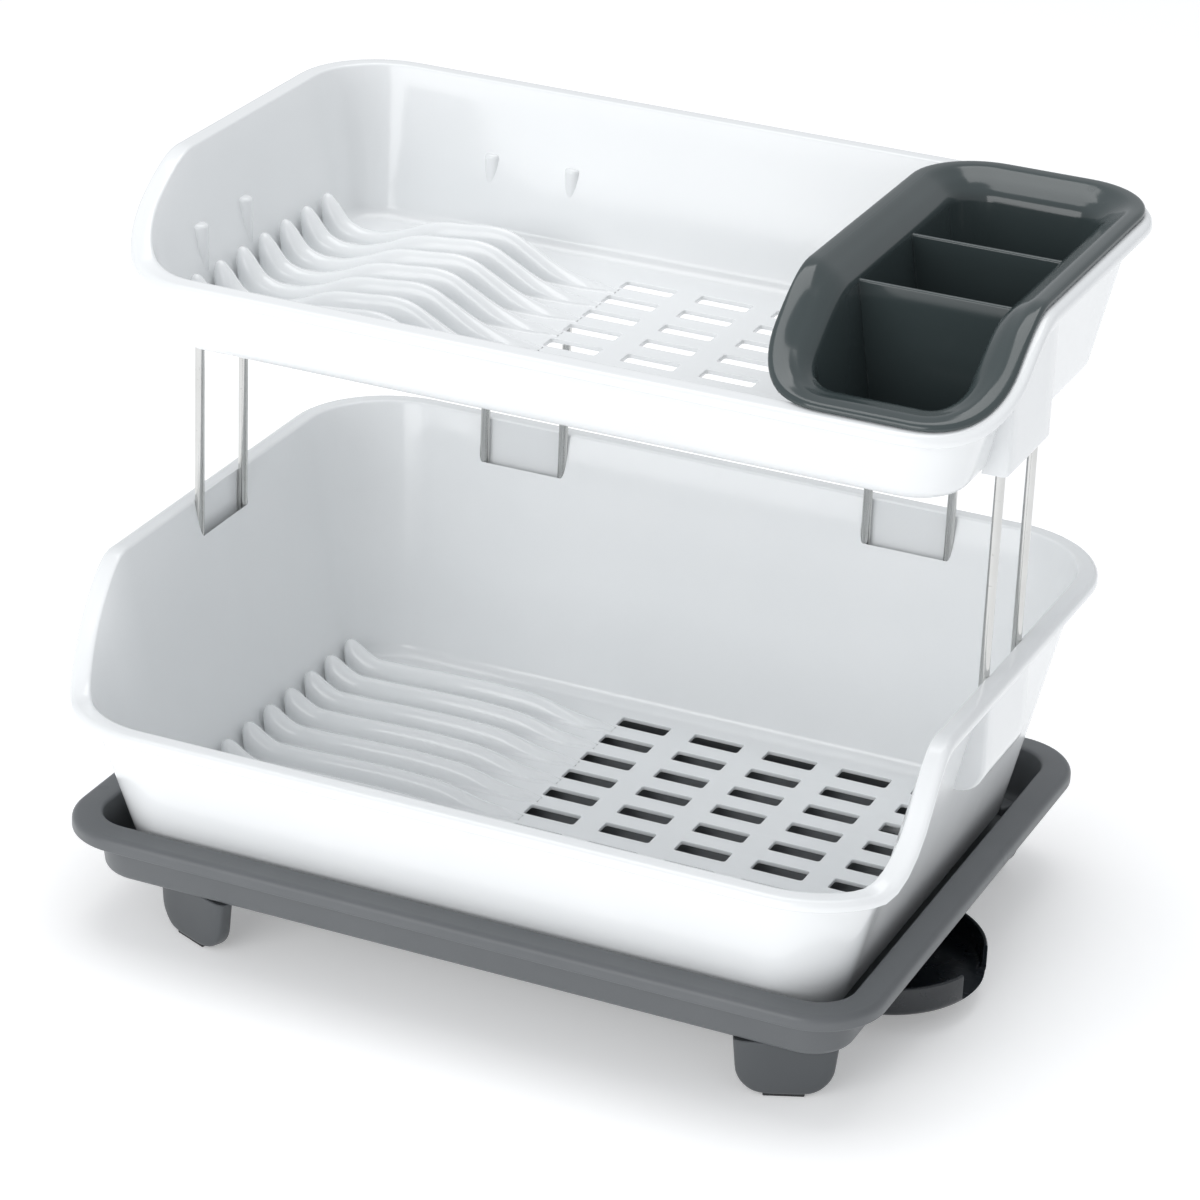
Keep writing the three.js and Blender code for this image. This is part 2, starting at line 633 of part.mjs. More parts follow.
function makeDripTray() {
  const tray = vessel({
    rim: {
      x0: -TRAY_LENGTH / 2,
      x1: TRAY_LENGTH / 2,
      y0: TRAY_CENTRE_Y - TRAY_DEPTH / 2,
      y1: TRAY_CENTRE_Y + TRAY_DEPTH / 2,
    },
    rimCorner: TRAY_BASE_CORNER + TRAY_FLANGE,
    footCorner: TRAY_BASE_CORNER,
    lip: TRAY_FLANGE,
    draft: TRAY_DRAFT,
    floorZ: TRAY_FLOOR_Z,
    rimFront: TRAY_RIM_Z,
    rimBack: TRAY_RIM_Z,
    riseStart: 0,
    riseLength: 1,
  });
  const floorTop = TRAY_FLOOR_Z + TRAY_FLOOR;
  const shell = ringSolid([
    wallRing(tray, -TRAY_ROUND, TRAY_FLOOR_Z),
    wallRing(tray, 0, TRAY_FLOOR_Z + TRAY_ROUND),
    rimRing(tray, 0, -TRAY_WALL),
    rimRing(tray, TRAY_FLANGE - TRAY_WALL, -TRAY_WALL - TRAY_EDGE),
    rimRing(tray, TRAY_FLANGE - TRAY_WALL, -TRAY_LIP_DROP),
    rimRing(tray, TRAY_FLANGE, -TRAY_LIP_DROP),
    rimRing(tray, TRAY_FLANGE, -TRAY_ROLL),
    rimRing(tray, TRAY_FLANGE - TRAY_ROLL * ARC_MIDDLE, -TRAY_ROLL * ARC_MIDDLE),
    rimRing(tray, TRAY_FLANGE - TRAY_ROLL, 0),
    rimRing(tray, TRAY_EDGE - TRAY_WALL, 0),
    rimRing(tray, -TRAY_WALL, -TRAY_EDGE),
    wallRing(tray, -TRAY_WALL, floorTop + TRAY_ROUND),
    wallRing(tray, -TRAY_WALL - TRAY_ROUND, floorTop),
  ]);
  const socketTop = TRAY_FLOOR_Z + STUB_HEIGHT + SLIDE_GAP;
  const domeSize = 2 * (SLIDE_GAP + TRAY_WALL);
  const domes = FEET.map((foot) => box(STUB_LENGTH + domeSize, STUB_WIDTH + domeSize,
    TRAY_FLOOR_Z + TRAY_FLOOR / 2, socketTop + TRAY_WALL / 2, foot.x, foot.y, foot.turn));
  const sockets = FEET.map((foot) => box(STUB_LENGTH + 2 * SLIDE_GAP, STUB_WIDTH + 2 * SLIDE_GAP,
    TRAY_FLOOR_Z - CUT_OVER, socketTop, foot.x, foot.y, foot.turn));
  const outlet = ring(HUB_RADIUS + SLIDE_GAP, 0, TRAY_FLOOR_Z - CUT_OVER, floorTop + CUT_OVER,
    SPOUT_PIVOT_X, SPOUT_PIVOT_Y, HUB_STEPS);
  return combine(shell, domes, [...sockets, outlet]);
}

/** A flat tongue with a rounded foot, a stub on top and a shallow recess for its pad. */
function makeTrayFoot(foot) {
  const top = TRAY_FLOOR_Z - SEAT_GAP;
  const half = FOOT_WIDTH / 2;
  const low = half - FOOT_TAPER;
  const shape = new THREE.Shape();
  shape.moveTo(-half, top);
  shape.lineTo(-low, FOOT_BOTTOM + FOOT_ROUND);
  shape.absarc(-low + FOOT_ROUND, FOOT_BOTTOM + FOOT_ROUND, FOOT_ROUND, Math.PI, 1.5 * Math.PI, false);
  shape.absarc(low - FOOT_ROUND, FOOT_BOTTOM + FOOT_ROUND, FOOT_ROUND, -Math.PI / 2, 0, false);
  shape.lineTo(half, top);
  shape.closePath();
  const tongue = new THREE.ExtrudeGeometry(shape, {
    depth: FOOT_DEPTH, bevelEnabled: false, curveSegments: CORNER_STEPS,
  });
  tongue.translate(0, 0, -FOOT_DEPTH / 2);
  tongue.rotateX(Math.PI / 2);
  const stub = box(STUB_LENGTH, STUB_WIDTH, top - CUT_OVER, TRAY_FLOOR_Z + STUB_HEIGHT);
  const recess = box(PAD_LENGTH + 2 * SLIDE_GAP, PAD_WIDTH + 2 * SLIDE_GAP, 0, PAD_HEIGHT + SLIDE_GAP);
  const geometry = combine(tongue, [stub], [recess]);
  geometry.rotateZ(foot.turn);
  geometry.translate(foot.x, foot.y, 0);
  return geometry;
}

const makeFootPad = (foot) => slotBar(PAD_LENGTH, PAD_WIDTH, PAD_ROUND, 0, PAD_HEIGHT, foot.x, foot.y,
  foot.turn, 3);

/** A round dish with an open mouth; a bridge across it carries the hub that turns in the tray's outlet. */
function makeDrainSpout() {
  const x = SPOUT_PIVOT_X;
  const y = SPOUT_PIVOT_Y;
  const dishX = x + SPOUT_REACH;
  const bridgeZ = SPOUT_TOP - SPOUT_WALL;
  const roomTop = SPOUT_TOP + CUT_OVER;
  const roomFloor = SPOUT_BOTTOM + SPOUT_WALL;
  const room = ring(SPOUT_RADIUS - SPOUT_WALL, 0, roomFloor, roomTop, dishX, y, DISH_STEPS);
  const mouth = box(SPOUT_RADIUS, SPOUT_MOUTH, roomFloor, roomTop, dishX + SPOUT_RADIUS, y);
  const disc = ring(SPOUT_RADIUS, 0, SPOUT_BOTTOM, SPOUT_TOP, dishX, y, DISH_STEPS);
  const dish = combine(disc, [], [room, mouth]);
  const beam = box(HUB_BORE, 2 * SPOUT_RADIUS, bridgeZ, SPOUT_TOP, x, y);
  const reach = ring(SPOUT_RADIUS - SPOUT_WALL / 2, 0, bridgeZ - CUT_OVER, roomTop, dishX, y, DISH_STEPS);
  const bridge = toGeometry(toManifold(beam).intersect(toManifold(reach)));
  const seat = ring(SEAL_RADIUS + SLIDE_GAP, 0, bridgeZ, SPOUT_TOP, x, y, HUB_STEPS);
  const hubTop = TRAY_FLOOR_Z + TRAY_FLOOR + SEAT_GAP + NUT_HEIGHT;
  const hub = ring(HUB_RADIUS, 0, bridgeZ, hubTop, x, y, HUB_STEPS);
  const bore = ring(HUB_BORE, 0, bridgeZ - CUT_OVER, hubTop + CUT_OVER, x, y, HUB_STEPS);
  return combine(dish, [bridge, seat, hub], [bore]);
}

const makeSpoutSeal = () => ring(SEAL_RADIUS, HUB_RADIUS + SLIDE_GAP, SPOUT_TOP + SEAT_GAP,
  TRAY_FLOOR_Z - SEAT_GAP, SPOUT_PIVOT_X, SPOUT_PIVOT_Y, HUB_STEPS);

/** The nut inside the tray that holds the spout's hub, with four finger notches. */
function makeSpoutNut() {
  const z0 = TRAY_FLOOR_Z + TRAY_FLOOR + SEAT_GAP;
  const nut = ring(NUT_RADIUS, HUB_RADIUS + SLIDE_GAP, z0, z0 + NUT_HEIGHT, SPOUT_PIVOT_X, SPOUT_PIVOT_Y,
    HUB_STEPS);
  const notches = [0, 1, 2, 3].map((quarter) => {
    const angle = (quarter + 0.5) * (Math.PI / 2);
    return box(2 * NUT_NOTCH_DEPTH, NUT_NOTCH_WIDTH, z0 + NUT_NOTCH_FLOOR, z0 + NUT_HEIGHT + CUT_OVER,
      SPOUT_PIVOT_X + NUT_RADIUS * Math.cos(angle), SPOUT_PIVOT_Y + NUT_RADIUS * Math.sin(angle), angle);
  });
  return combine(nut, [], notches);
}

/** The holder hangs by its flange on the rim of the upper basket and follows its line. */
function makeCutleryHolder() {
  const right = upper.rim.x1 - HOLDER_INSET;
  const holder = vessel({
    rim: {
      x0: right - HOLDER_WIDTH,
      x1: right,
      y0: upper.rim.y0 + HOLDER_INSET,
      y1: upper.rim.y1 - HOLDER_INSET,
    },
    rimCorner: HOLDER_RIM_CORNER,
    footCorner: HOLDER_FOOT_CORNER,
    lip: HOLDER_FLANGE,
    draft: HOLDER_DRAFT,
    floorZ: HOLDER_FLOOR_Z,
    rimFront: UPPER_RIM_FRONT,
    rimBack: UPPER_RIM_BACK,
    riseStart: upper.riseStart,
    riseLength: upper.riseLength,
  });
  const seat = HOLDER_SEAT_GAP;
  const top = seat + HOLDER_FLANGE_THICKNESS;
  const floorTop = HOLDER_FLOOR_Z + HOLDER_WALL;
  const shell = ringSolid([
    wallRing(holder, -HOLDER_ROUND, HOLDER_FLOOR_Z),
    wallRing(holder, 0, HOLDER_FLOOR_Z + HOLDER_ROUND),
    rimRing(holder, 0, seat - HOLDER_SEAT_DIP),
    rimRing(holder, HOLDER_FLANGE - HOLDER_SEAT_WIDTH, seat),
    rimRing(holder, HOLDER_FLANGE - HOLDER_EDGE, seat),
    rimRing(holder, HOLDER_FLANGE, seat + HOLDER_EDGE),
    rimRing(holder, HOLDER_FLANGE, top - LIP_ROUND),
    rimRing(holder, HOLDER_FLANGE - LIP_ROUND, top),
    rimRing(holder, HOLDER_FLANGE - HOLDER_SEAT_WIDTH, top),
    rimRing(holder, HOLDER_MOUTH_ROUND - HOLDER_WALL, top - HOLDER_SEAT_DIP),
    rimRing(holder, -HOLDER_WALL, top - HOLDER_SEAT_DIP - HOLDER_MOUTH_ROUND),
    wallRing(holder, -HOLDER_WALL, floorTop + HOLDER_ROUND),
    wallRing(holder, -HOLDER_ROUND - HOLDER_WALL, floorTop),
  ]);
  const room = roomInside(holder, -HOLDER_WALL / 2, HOLDER_FLOOR_Z + HOLDER_WALL / 2);
  const dividers = [];
  for (let cell = 1; cell < HOLDER_CELLS; cell += 1) {
    const first = holder.rim.y0 + HOLDER_FLANGE;
    const y = THREE.MathUtils.lerp(first, holder.rim.y1 - HOLDER_FLANGE, cell / HOLDER_CELLS);
    const slab = box(HOLDER_WIDTH, DIVIDER_THICKNESS, HOLDER_FLOOR_Z + HOLDER_WALL / 2,
      holder.rimZ(y) + top - DIVIDER_DROP, (holder.rim.x0 + holder.rim.x1) / 2, y);
    dividers.push(toGeometry(toManifold(slab).intersect(toManifold(room))));
  }
  return combine(shell, dividers, []);
}

// ---------------------------------------------------------------- assembly

const rack = new THREE.Group();

function addPiece(name, geometry, finish) {
  const flat = geometry.index ? geometry.toNonIndexed() : geometry;
  flat.computeVertexNormals();
  const mesh = new THREE.Mesh(flat, new THREE.MeshStandardMaterial(finish));
  mesh.name = name;
  rack.add(mesh);
}

addPiece('drip_tray', makeDripTray(), TRAY_GREY);
FEET.forEach((foot) => {
  addPiece(`tray_foot_${foot.name}`, makeTrayFoot(foot), TRAY_GREY);
  addPiece(`foot_pad_${foot.name}`, makeFootPad(foot), RUBBER);
});
addPiece('drain_spout', makeDrainSpout(), BLACK);
addPiece('spout_seal', makeSpoutSeal(), RUBBER);
addPiece('spout_nut', makeSpoutNut(), BLACK);
addPiece('lower_basket', makeLowerBasket(), WHITE);
WIRES.forEach((wire) => {
  addPiece(`wire_leg_${wire.name}`, makeWireLeg(wire), CHROME);
});
addPiece('upper_basket', makeUpperBasket(), WHITE);
addPiece('cutlery_holder', makeCutleryHolder(), HOLDER_GREY);

export default rack;
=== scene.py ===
"""Two-tier dish drying rack: its looks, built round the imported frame.

Everything is in metres in the frame's own axes: +X to the right, +Y to the back, +Z up.
Sizes are written in millimetres and multiplied by MM. A surface is a grid of points worked
out with numpy: one parameter runs round an outline or along a path, the other runs across it.
"""

import logging
import math
from dataclasses import dataclass, field
from enum import Enum

import bmesh
import bpy
import numpy as np
from mathutils import Matrix, Vector
from mathutils.geometry import tessellate_polygon


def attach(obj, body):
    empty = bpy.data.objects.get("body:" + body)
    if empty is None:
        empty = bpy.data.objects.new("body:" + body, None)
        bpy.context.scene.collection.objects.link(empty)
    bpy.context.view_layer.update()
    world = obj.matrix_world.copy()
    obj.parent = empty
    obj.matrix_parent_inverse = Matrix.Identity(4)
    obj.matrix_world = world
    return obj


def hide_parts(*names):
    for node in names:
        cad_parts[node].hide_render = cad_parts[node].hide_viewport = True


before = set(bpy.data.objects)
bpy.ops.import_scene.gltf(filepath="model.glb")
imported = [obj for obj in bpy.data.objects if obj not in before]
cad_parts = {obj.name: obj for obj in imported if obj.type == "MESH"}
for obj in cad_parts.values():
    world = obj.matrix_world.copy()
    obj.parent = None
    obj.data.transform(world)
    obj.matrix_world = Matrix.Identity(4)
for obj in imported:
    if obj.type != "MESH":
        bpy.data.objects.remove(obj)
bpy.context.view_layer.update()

logging.basicConfig(level=logging.INFO, format="%(message)s")
LOG = logging.getLogger("dish_rack")

MM = 0.001
Array = np.ndarray

CREASE = 35.0  # degrees above which an edge is sharp
RIB_CREASE = 60.0
WIRE_CREASE = 50.0
WELD = 2e-6  # points this close are one
SLIVER = 1e-7  # edges this short are dropped
ON_AXIS = 1e-9  # a radius this small is on the axis
UP = np.array([0.0, 0.0, 1.0])
QUARTER = math.pi / 2

BASKET_DRAFT = 12.0  # lean of both baskets' walls, in degrees
HOUSING_FACE = 6.0 * MM  # from a wire's axis to the face of the housing round it
SPOUT_PIVOT = (139 * MM, -21 * MM)
HUB_SOCKET = 12.8 * MM  # radius of what the spout's hub turns in


# ------------------------------------------------------------------ named options


class Body(str, Enum):
    """The rigid bodies of the frame that pieces ride on."""

    BASE = "base"
    SPOUT = "spout"
    LOWER = "lower_basket"
    UPPER = "upper_basket"
    HOLDER = "cutlery_holder"


class Slot(str, Enum):
    """The record's material slots."""

    BASKET = "basket_plastic"
    TRAY = "tray_plastic"
    HOLDER = "holder_plastic"
    SPOUT = "spout_plastic"
    RUBBER = "seal_rubber"
    CHROME = "wire_chrome"


class Facing(Enum):
    """Which way a wire leg's wall faces, as an angle from +X in degrees."""

    RIGHT = 0.0
    BACK = 90.0
    LEFT = 180.0


# ------------------------------------------------------------------ meshes from grids


def arc(centre: tuple[float, float], radius: float, start: float, end: float, steps: int) -> Array:
    """Points on a circular arc: centre plus radius times (cosine, sine) of an even run of angles.

    Args:
        centre: middle of the circle.
        radius: its radius.
        start: first angle in degrees.
        end: last angle in degrees.
        steps: number of steps between the two.

    Returns:
        Array of shape (steps + 1, 2).
    """
    angle = np.radians(np.linspace(start, end, steps + 1))
    return np.stack([centre[0] + radius * np.cos(angle), centre[1] + radius * np.sin(angle)], axis=1)


def smoothstep(t: Array) -> Array:
    """Rises from 0 to 1 with level ends: three t squared minus two t cubed, t held within 0 to 1."""
    t = np.clip(t, 0.0, 1.0)
    return t * t * (3.0 - 2.0 * t)


def quarter_levels(length: float, points: int) -> Array:
    """Distances that crowd at the start: length times one minus the cosine of 0 to 90 degrees."""
    return length * (1 - np.cos(np.linspace(0.0, QUARTER, points)))


def quarter_rise(t: Array) -> Array:
    """Rises from 0 to 1 as a quarter circle, and then stays.

    Args:
        t: distance along the rise, as a share of its length.

    Returns:
        The root of one minus (1 - t) squared, with t held within 0 to 1.
    """
    return np.sqrt(np.clip(1.0 - (1.0 - np.clip(t, 0.0, 1.0)) ** 2, 0.0, 1.0))


def signed_power(wave: Array, power: float) -> Array:
    """A wave raised to a power with its sign kept, which squares a circle into a superellipse."""
    return np.sign(wave) * np.abs(wave) ** power


def heading(degrees: float) -> Array:
    """Level unit vector at an angle from +X."""
    angle = math.radians(degrees)
    return np.array([math.cos(angle), math.sin(angle), 0.0])


def eased(knots: Array, values: Array, at: Array) -> Array:
    """A smooth curve through knots: on each span a cubic whose end slopes are the chord
    slopes between the neighbouring knots.

    Args:
        knots: rising positions of the knots.
        values: value at each knot.
        at: positions to evaluate.

    Returns:
        Values at those positions.
    """
    slopes = np.gradient(values, knots)
    span = np.clip(np.searchsorted(knots, at, side="right") - 1, 0, len(knots) - 2)
    width = knots[span + 1] - knots[span]
    t = (at - knots[span]) / width
    return (
        values[span] * (1 + 2 * t) * (1 - t) ** 2
        + slopes[span] * width * t * (1 - t) ** 2
        + values[span + 1] * t * t * (3 - 2 * t)
        + slopes[span + 1] * width * t * t * (t - 1)
    )


def rounded_outline(x0: float, x1: float, y0: float, y1: float, corner: float,
                    corner_steps: int, end_steps: int, side_steps: int) -> tuple[Array, Array]:
    """Round a rectangle with rounded corners, anticlockwise from the right side's back end.

    Each corner is a quarter circle; each straight is an even run between two corners.

    Args:
        x0: left edge.
        x1: right edge.
        y0: front edge.
        y1: back edge.
        corner: corner radius.
        corner_steps: steps in each corner.
        end_steps: steps along the front and the back.
        side_steps: steps along the left and the right.

    Returns:
        Points (n, 2) and outward normals (n, 2).
    """
    centres = np.array([[x1 - corner, y1 - corner], [x0 + corner, y1 - corner],
                        [x0 + corner, y0 + corner], [x1 - corner, y0 + corner]])
    turn = np.linspace(0.0, 1.0, corner_steps + 1)
    points: list[Array] = []
    normals: list[Array] = []
    for quarter in range(4):
        angle = (quarter + turn) * QUARTER
        normal = np.stack([np.cos(angle), np.sin(angle)], axis=1)
        points.append(centres[quarter] + corner * normal)
        normals.append(normal)
        steps = end_steps if quarter % 2 == 0 else side_steps
        t = np.linspace(0.0, 1.0, steps + 1)[1:-1, None]
        start = points[-1][-1]
        finish = centres[(quarter + 1) % 4] + corner * normal[-1]
        points.append(start + (finish - start) * t)
        normals.append(np.repeat(normal[-1:], len(t), axis=0))
    return np.concatenate(points), np.concatenate(normals)


def grid_faces(rows: int, columns: int, wrap_rows: bool = False, wrap_columns: bool = True) -> Array:
    """Quads between neighbouring points of a grid, numbered row by row.

    Args:
        rows: number of rows.
        columns: number of columns.
        wrap_rows: whether the last row joins the first.
        wrap_columns: whether the last column joins the first.

    Returns:
        Array of shape (faces, 4).
    """
    r = np.arange(rows if wrap_rows else rows - 1)[:, None]
    c = np.arange(columns if wrap_columns else columns - 1)[None, :]
    up = (r + 1) % rows
    across = (c + 1) % columns
    quads = [r * columns + c, r * columns + across, up * columns + across, up * columns + c]
    return np.stack([q.reshape(-1) for q in np.broadcast_arrays(*quads)], axis=1)


@dataclass
class Shell:
    """Points and faces of one surface, gathered grid by grid."""

    points: list[Array] = field(default_factory=list)
    faces: list[tuple[int, ...]] = field(default_factory=list)
    count: int = 0

    def add(self, points: Array, faces: Array) -> "Shell":
        """Adds points and the faces between them."""
        self.points.append(points.reshape(-1, 3))
        self.faces.extend(map(tuple, (faces + self.count).tolist()))
        self.count += len(self.points[-1])
        return self

    def add_grid(self, grid: Array, wrap_rows: bool = False, wrap_columns: bool = True,
                 cap_ends: bool = False) -> "Shell":
        """Adds a grid of shape (rows, columns, 3), and if asked closes its first and last rows.

        Args:
            grid: the points.
            wrap_rows: whether the last row joins the first.
            wrap_columns: whether the last column joins the first.
            cap_ends: whether a fan to the middle closes each end row.

        Returns:
            This shell.
        """
        rows, columns = grid.shape[:2]
        self.add(grid, grid_faces(rows, columns, wrap_rows, wrap_columns))
        if cap_ends:
            for row in (grid[0], grid[-1]):
                ring = np.arange(columns)
                fan = np.stack([ring, (ring + 1) % columns, np.full(columns, columns)], axis=1)
                self.add(np.concatenate([row, row.mean(axis=0, keepdims=True)]), fan)
        return self

    def add_plate(self, loops: list[Array]) -> "Shell":
        """Adds a level plate: the first loop is its edge and each other loop is a hole in it."""
        triangles = np.array(tessellate_polygon([[Vector(p) for p in loop] for loop in loops]))
        return self.add(np.concatenate(loops), triangles)

    def join(self, other: "Shell") -> "Shell":
        """Takes in another shell's points and faces."""
        self.points.extend(other.points)
        self.faces.extend(tuple(i + self.count for i in face) for face in other.faces)
        self.count += other.count
        return self

    def to_mesh(self, name: str, crease: float = CREASE) -> bpy.types.Mesh:
        """Welds the points, turns the faces outwards and shades them smooth up to a crease angle.

        Args:
            name: the mesh's name.
            crease: angle in degrees above which an edge is sharp.

        Returns:
            The mesh.
        """
        mesh = bpy.data.meshes.new(name)
        mesh.from_pydata(np.concatenate(self.points), [], self.faces)
        work = bmesh.new()
        work.from_mesh(mesh)
        bmesh.ops.remove_doubles(work, verts=work.verts, dist=WELD)
        bmesh.ops.dissolve_degenerate(work, dist=SLIVER, edges=work.edges)
        bmesh.ops.recalc_face_normals(work, faces=work.faces)
        work.to_mesh(mesh)
        work.free()
        mesh.shade_smooth()
        mesh.set_sharp_from_angle(angle=math.radians(crease))
        return mesh


def new_object(mesh: bpy.types.Mesh) -> bpy.types.Object:
    """Puts a mesh in the scene as an object of the same name at the origin."""
    piece = bpy.data.objects.new(mesh.name, mesh)
    bpy.context.scene.collection.objects.link(piece)
    return piece


class Cut(Enum):
    """What a Boolean step does with the second mesh."""

    JOIN = "UNION"
    CARVE = "DIFFERENCE"


def combined(mesh: bpy.types.Mesh, other: bpy.types.Mesh, cut: Cut) -> bpy.types.Mesh:
    """Joins or cuts one closed mesh with another and marks the sharp edges afresh.

    Args:
        mesh: the mesh that is kept.
        other: the mesh that is joined to it or taken away.
        cut: which of the two.

    Returns:
        The new mesh, under the first one's name.
    """
    name = mesh.name
    mesh.name = name + ".before"
    body, tool = new_object(mesh), new_object(other)
    step = body.modifiers.new("combine", "BOOLEAN")
    step.operation = cut.value
    step.solver = "EXACT"
    step.use_self = cut is Cut.JOIN
    step.object = tool
    graph = bpy.context.evaluated_depsgraph_get()
    result = bpy.data.meshes.new_from_object(body.evaluated_get(graph))
    result.name = name
    for spare in (body, tool):
        old = spare.data
        bpy.data.objects.remove(spare)
        bpy.data.meshes.remove(old)
    result.shade_smooth()
    result.set_sharp_from_angle(angle=math.radians(CREASE))
    return result


def carved(mesh: bpy.types.Mesh, cutter: Shell) -> bpy.types.Mesh:
    """Cuts one closed shell out of a closed mesh."""
    return combined(mesh, cutter.to_mesh(mesh.name + ".knife"), Cut.CARVE)


def fused(mesh: bpy.types.Mesh, other: bpy.types.Mesh) -> bpy.types.Mesh:
    """Joins two closed meshes into one skin."""
    return combined(mesh, other, Cut.JOIN)


def joined(name: str, meshes: list[bpy.types.Mesh]) -> bpy.types.Mesh:
    """Gathers several meshes in one, each keeping its own shading."""
    work = bmesh.new()
    for mesh in meshes:
        work.from_mesh(mesh)
        bpy.data.meshes.remove(mesh)
    result = bpy.data.meshes.new(name)
    work.to_mesh(result)
    work.free()
    return result


def turned(radius: Array, height: Array, centre: tuple[float, float], steps: int) -> Array:
    """Points set round an upright line: (radius cosine, radius sine, height) at even angles.

    Args:
        radius: shape (n, 1), or (n, steps) where it changes round the circle.
        height: shape (n, 1).
        centre: the line, in X and Y.
        steps: steps round the circle.

    Returns:
        Grid of shape (n, steps, 3).
    """
    angle = np.linspace(0.0, 2 * math.pi, steps, endpoint=False)[None, :]
    return np.stack([centre[0] + radius * np.cos(angle), centre[1] + radius * np.sin(angle),
                     height + 0 * angle], axis=2)


def lathe(profile: Array, centre: tuple[float, float], steps: int = 64) -> Shell:
    """A profile of (radius, height) turned a full circle about an upright line.

    Args:
        profile: points (n, 2) that form a closed loop or start and end on the axis.
        centre: the axis, in X and Y.
        steps: steps round the circle.

    Returns:
        The turned shell.
    """
    grid = turned(profile[:, :1], profile[:, 1:], centre, steps)
    on_axis = max(abs(profile[0, 0]), abs(profile[-1, 0])) < ON_AXIS
    return Shell().add_grid(grid, wrap_rows=not on_axis)


def upright_rod(radius: float, low: float, high: float, centre: tuple[float, float],
                steps: int) -> Shell:
    """A plain cylinder between two heights."""
    return lathe(np.array([[0.0, low], [radius, low], [radius, high], [0.0, high]]), centre, steps)


def ring_section(inner: float, outer: float, low: float, high: float, corner: float) -> Array:
    """A closed rectangle with rounded corners, as (radius, height) points."""
    half_r, half_z = (outer - inner) / 2, (high - low) / 2
    points = rounded_outline(-half_r, half_r, -half_z, half_z, corner, 4, 2, 2)[0]
    return points + [(outer + inner) / 2, (high + low) / 2]


def block(size: tuple[float, float, float], centre: tuple[float, float, float], turn: float,
          edge: float, steps: int = 4) -> Shell:
    """An upright block with rounded edges, turned about its own upright line.

    Its section is a rounded rectangle; near the top and the bottom the section draws in along
    a quarter circle.

    Args:
        size: length, width and height.
        centre: its middle.
        turn: turn in degrees.
        edge: radius of every edge.
        steps: steps in each rounding.

    Returns:
        The block.
    """
    outline, normal = rounded_outline(-size[0] / 2, size[0] / 2, -size[1] / 2, size[1] / 2,
                                      edge, steps, 4, 2)
    low = arc((-edge, -size[2] / 2 + edge), edge, -90.0, 0.0, steps)
    high = arc((-edge, size[2] / 2 - edge), edge, 0.0, 90.0, steps)
    inward, height = np.concatenate([low, high]).T
    flat = outline[None] + normal[None] * inward[:, None, None]
    c, s = math.cos(math.radians(turn)), math.sin(math.radians(turn))
    grid = np.stack([centre[0] + c * flat[..., 0] - s * flat[..., 1],
                     centre[1] + s * flat[..., 0] + c * flat[..., 1],
                     centre[2] + height[:, None] + 0 * flat[..., 0]], axis=2)
    return Shell().add_grid(grid, cap_ends=True)


# ------------------------------------------------------------------ finishes


class Group:
    """Makes a shader node group with named inputs and outputs and plain ways to fill it."""

    def __init__(self, name: str, inputs: dict[str, float], outputs: dict[str, str]) -> None:
        """Starts the group.

        Args:
            name: the group's name.
            inputs: float inputs and their usual values.
            outputs: outputs and their socket types.
        """
        self.tree = bpy.data.node_groups.new(name, "ShaderNodeTree")
        for label, value in inputs.items():
            socket = self.tree.interface.new_socket(label, in_out="INPUT",
                                                    socket_type="NodeSocketFloat")
            socket.default_value = value
        for label, kind in outputs.items():
            self.tree.interface.new_socket(label, in_out="OUTPUT", socket_type=kind)
        self.source = self.tree.nodes.new("NodeGroupInput")
        self.sink = self.tree.nodes.new("NodeGroupOutput")

    def node(self, kind: str, **settings: object) -> bpy.types.Node:
        """Adds a node and sets its plain properties."""
        node = self.tree.nodes.new(kind)
        for key, value in settings.items():
            setattr(node, key, value)
        return node

    def link(self, start: bpy.types.NodeSocket, end: bpy.types.NodeSocket) -> None:
        """Joins two sockets."""
        self.tree.links.new(start, end)

    def noise(self, vector: bpy.types.NodeSocket, scale: float, detail: float = 3.0) -> bpy.types.Node:
        """A noise texture on the given coordinates, at a scale in waves for each metre."""
        node = self.node("ShaderNodeTexNoise")
        node.inputs["Scale"].default_value = scale
        node.inputs["Detail"].default_value = detail
        self.link(vector, node.inputs["Vector"])
        return node

    def ramp(self, value: bpy.types.NodeSocket, low: float, high: float) -> bpy.types.NodeSocket:
        """Spreads a value between two limits over 0 to 1, held within them."""
        node = self.node("ShaderNodeMapRange", clamp=True)
        node.inputs["From Min"].default_value = low
        node.inputs["From Max"].default_value = high
        self.link(value, node.inputs["Value"])
        return node.outputs["Result"]

    def math(self, operation: str, first: float | bpy.types.NodeSocket,
             second: float | bpy.types.NodeSocket) -> bpy.types.NodeSocket:
        """One arithmetic step on two sockets or numbers."""
        node = self.node("ShaderNodeMath", operation=operation)
        for socket, item in zip(node.inputs, (first, second)):
            if isinstance(item, (int, float)):
                socket.default_value = item
            else:
                self.link(item, socket)
        return node.outputs["Value"]


SWELL_WAVES = 14.0  # waves for each metre
CLOUD_WAVES = 45.0
GRAIN_WAVES = 2600.0
HAIR_WAVES = 9.0
HAIR_STRETCH = (6.0, 160.0, 40.0)
HAIR_TURN = (0.3, 0.2, 0.5)
SWELL_HEIGHT = 1.6  # shares of the bump's depth
GRAIN_HEIGHT = 0.05
SCRATCH_DEPTH = 0.05
CLOUD_DULLING = 0.7


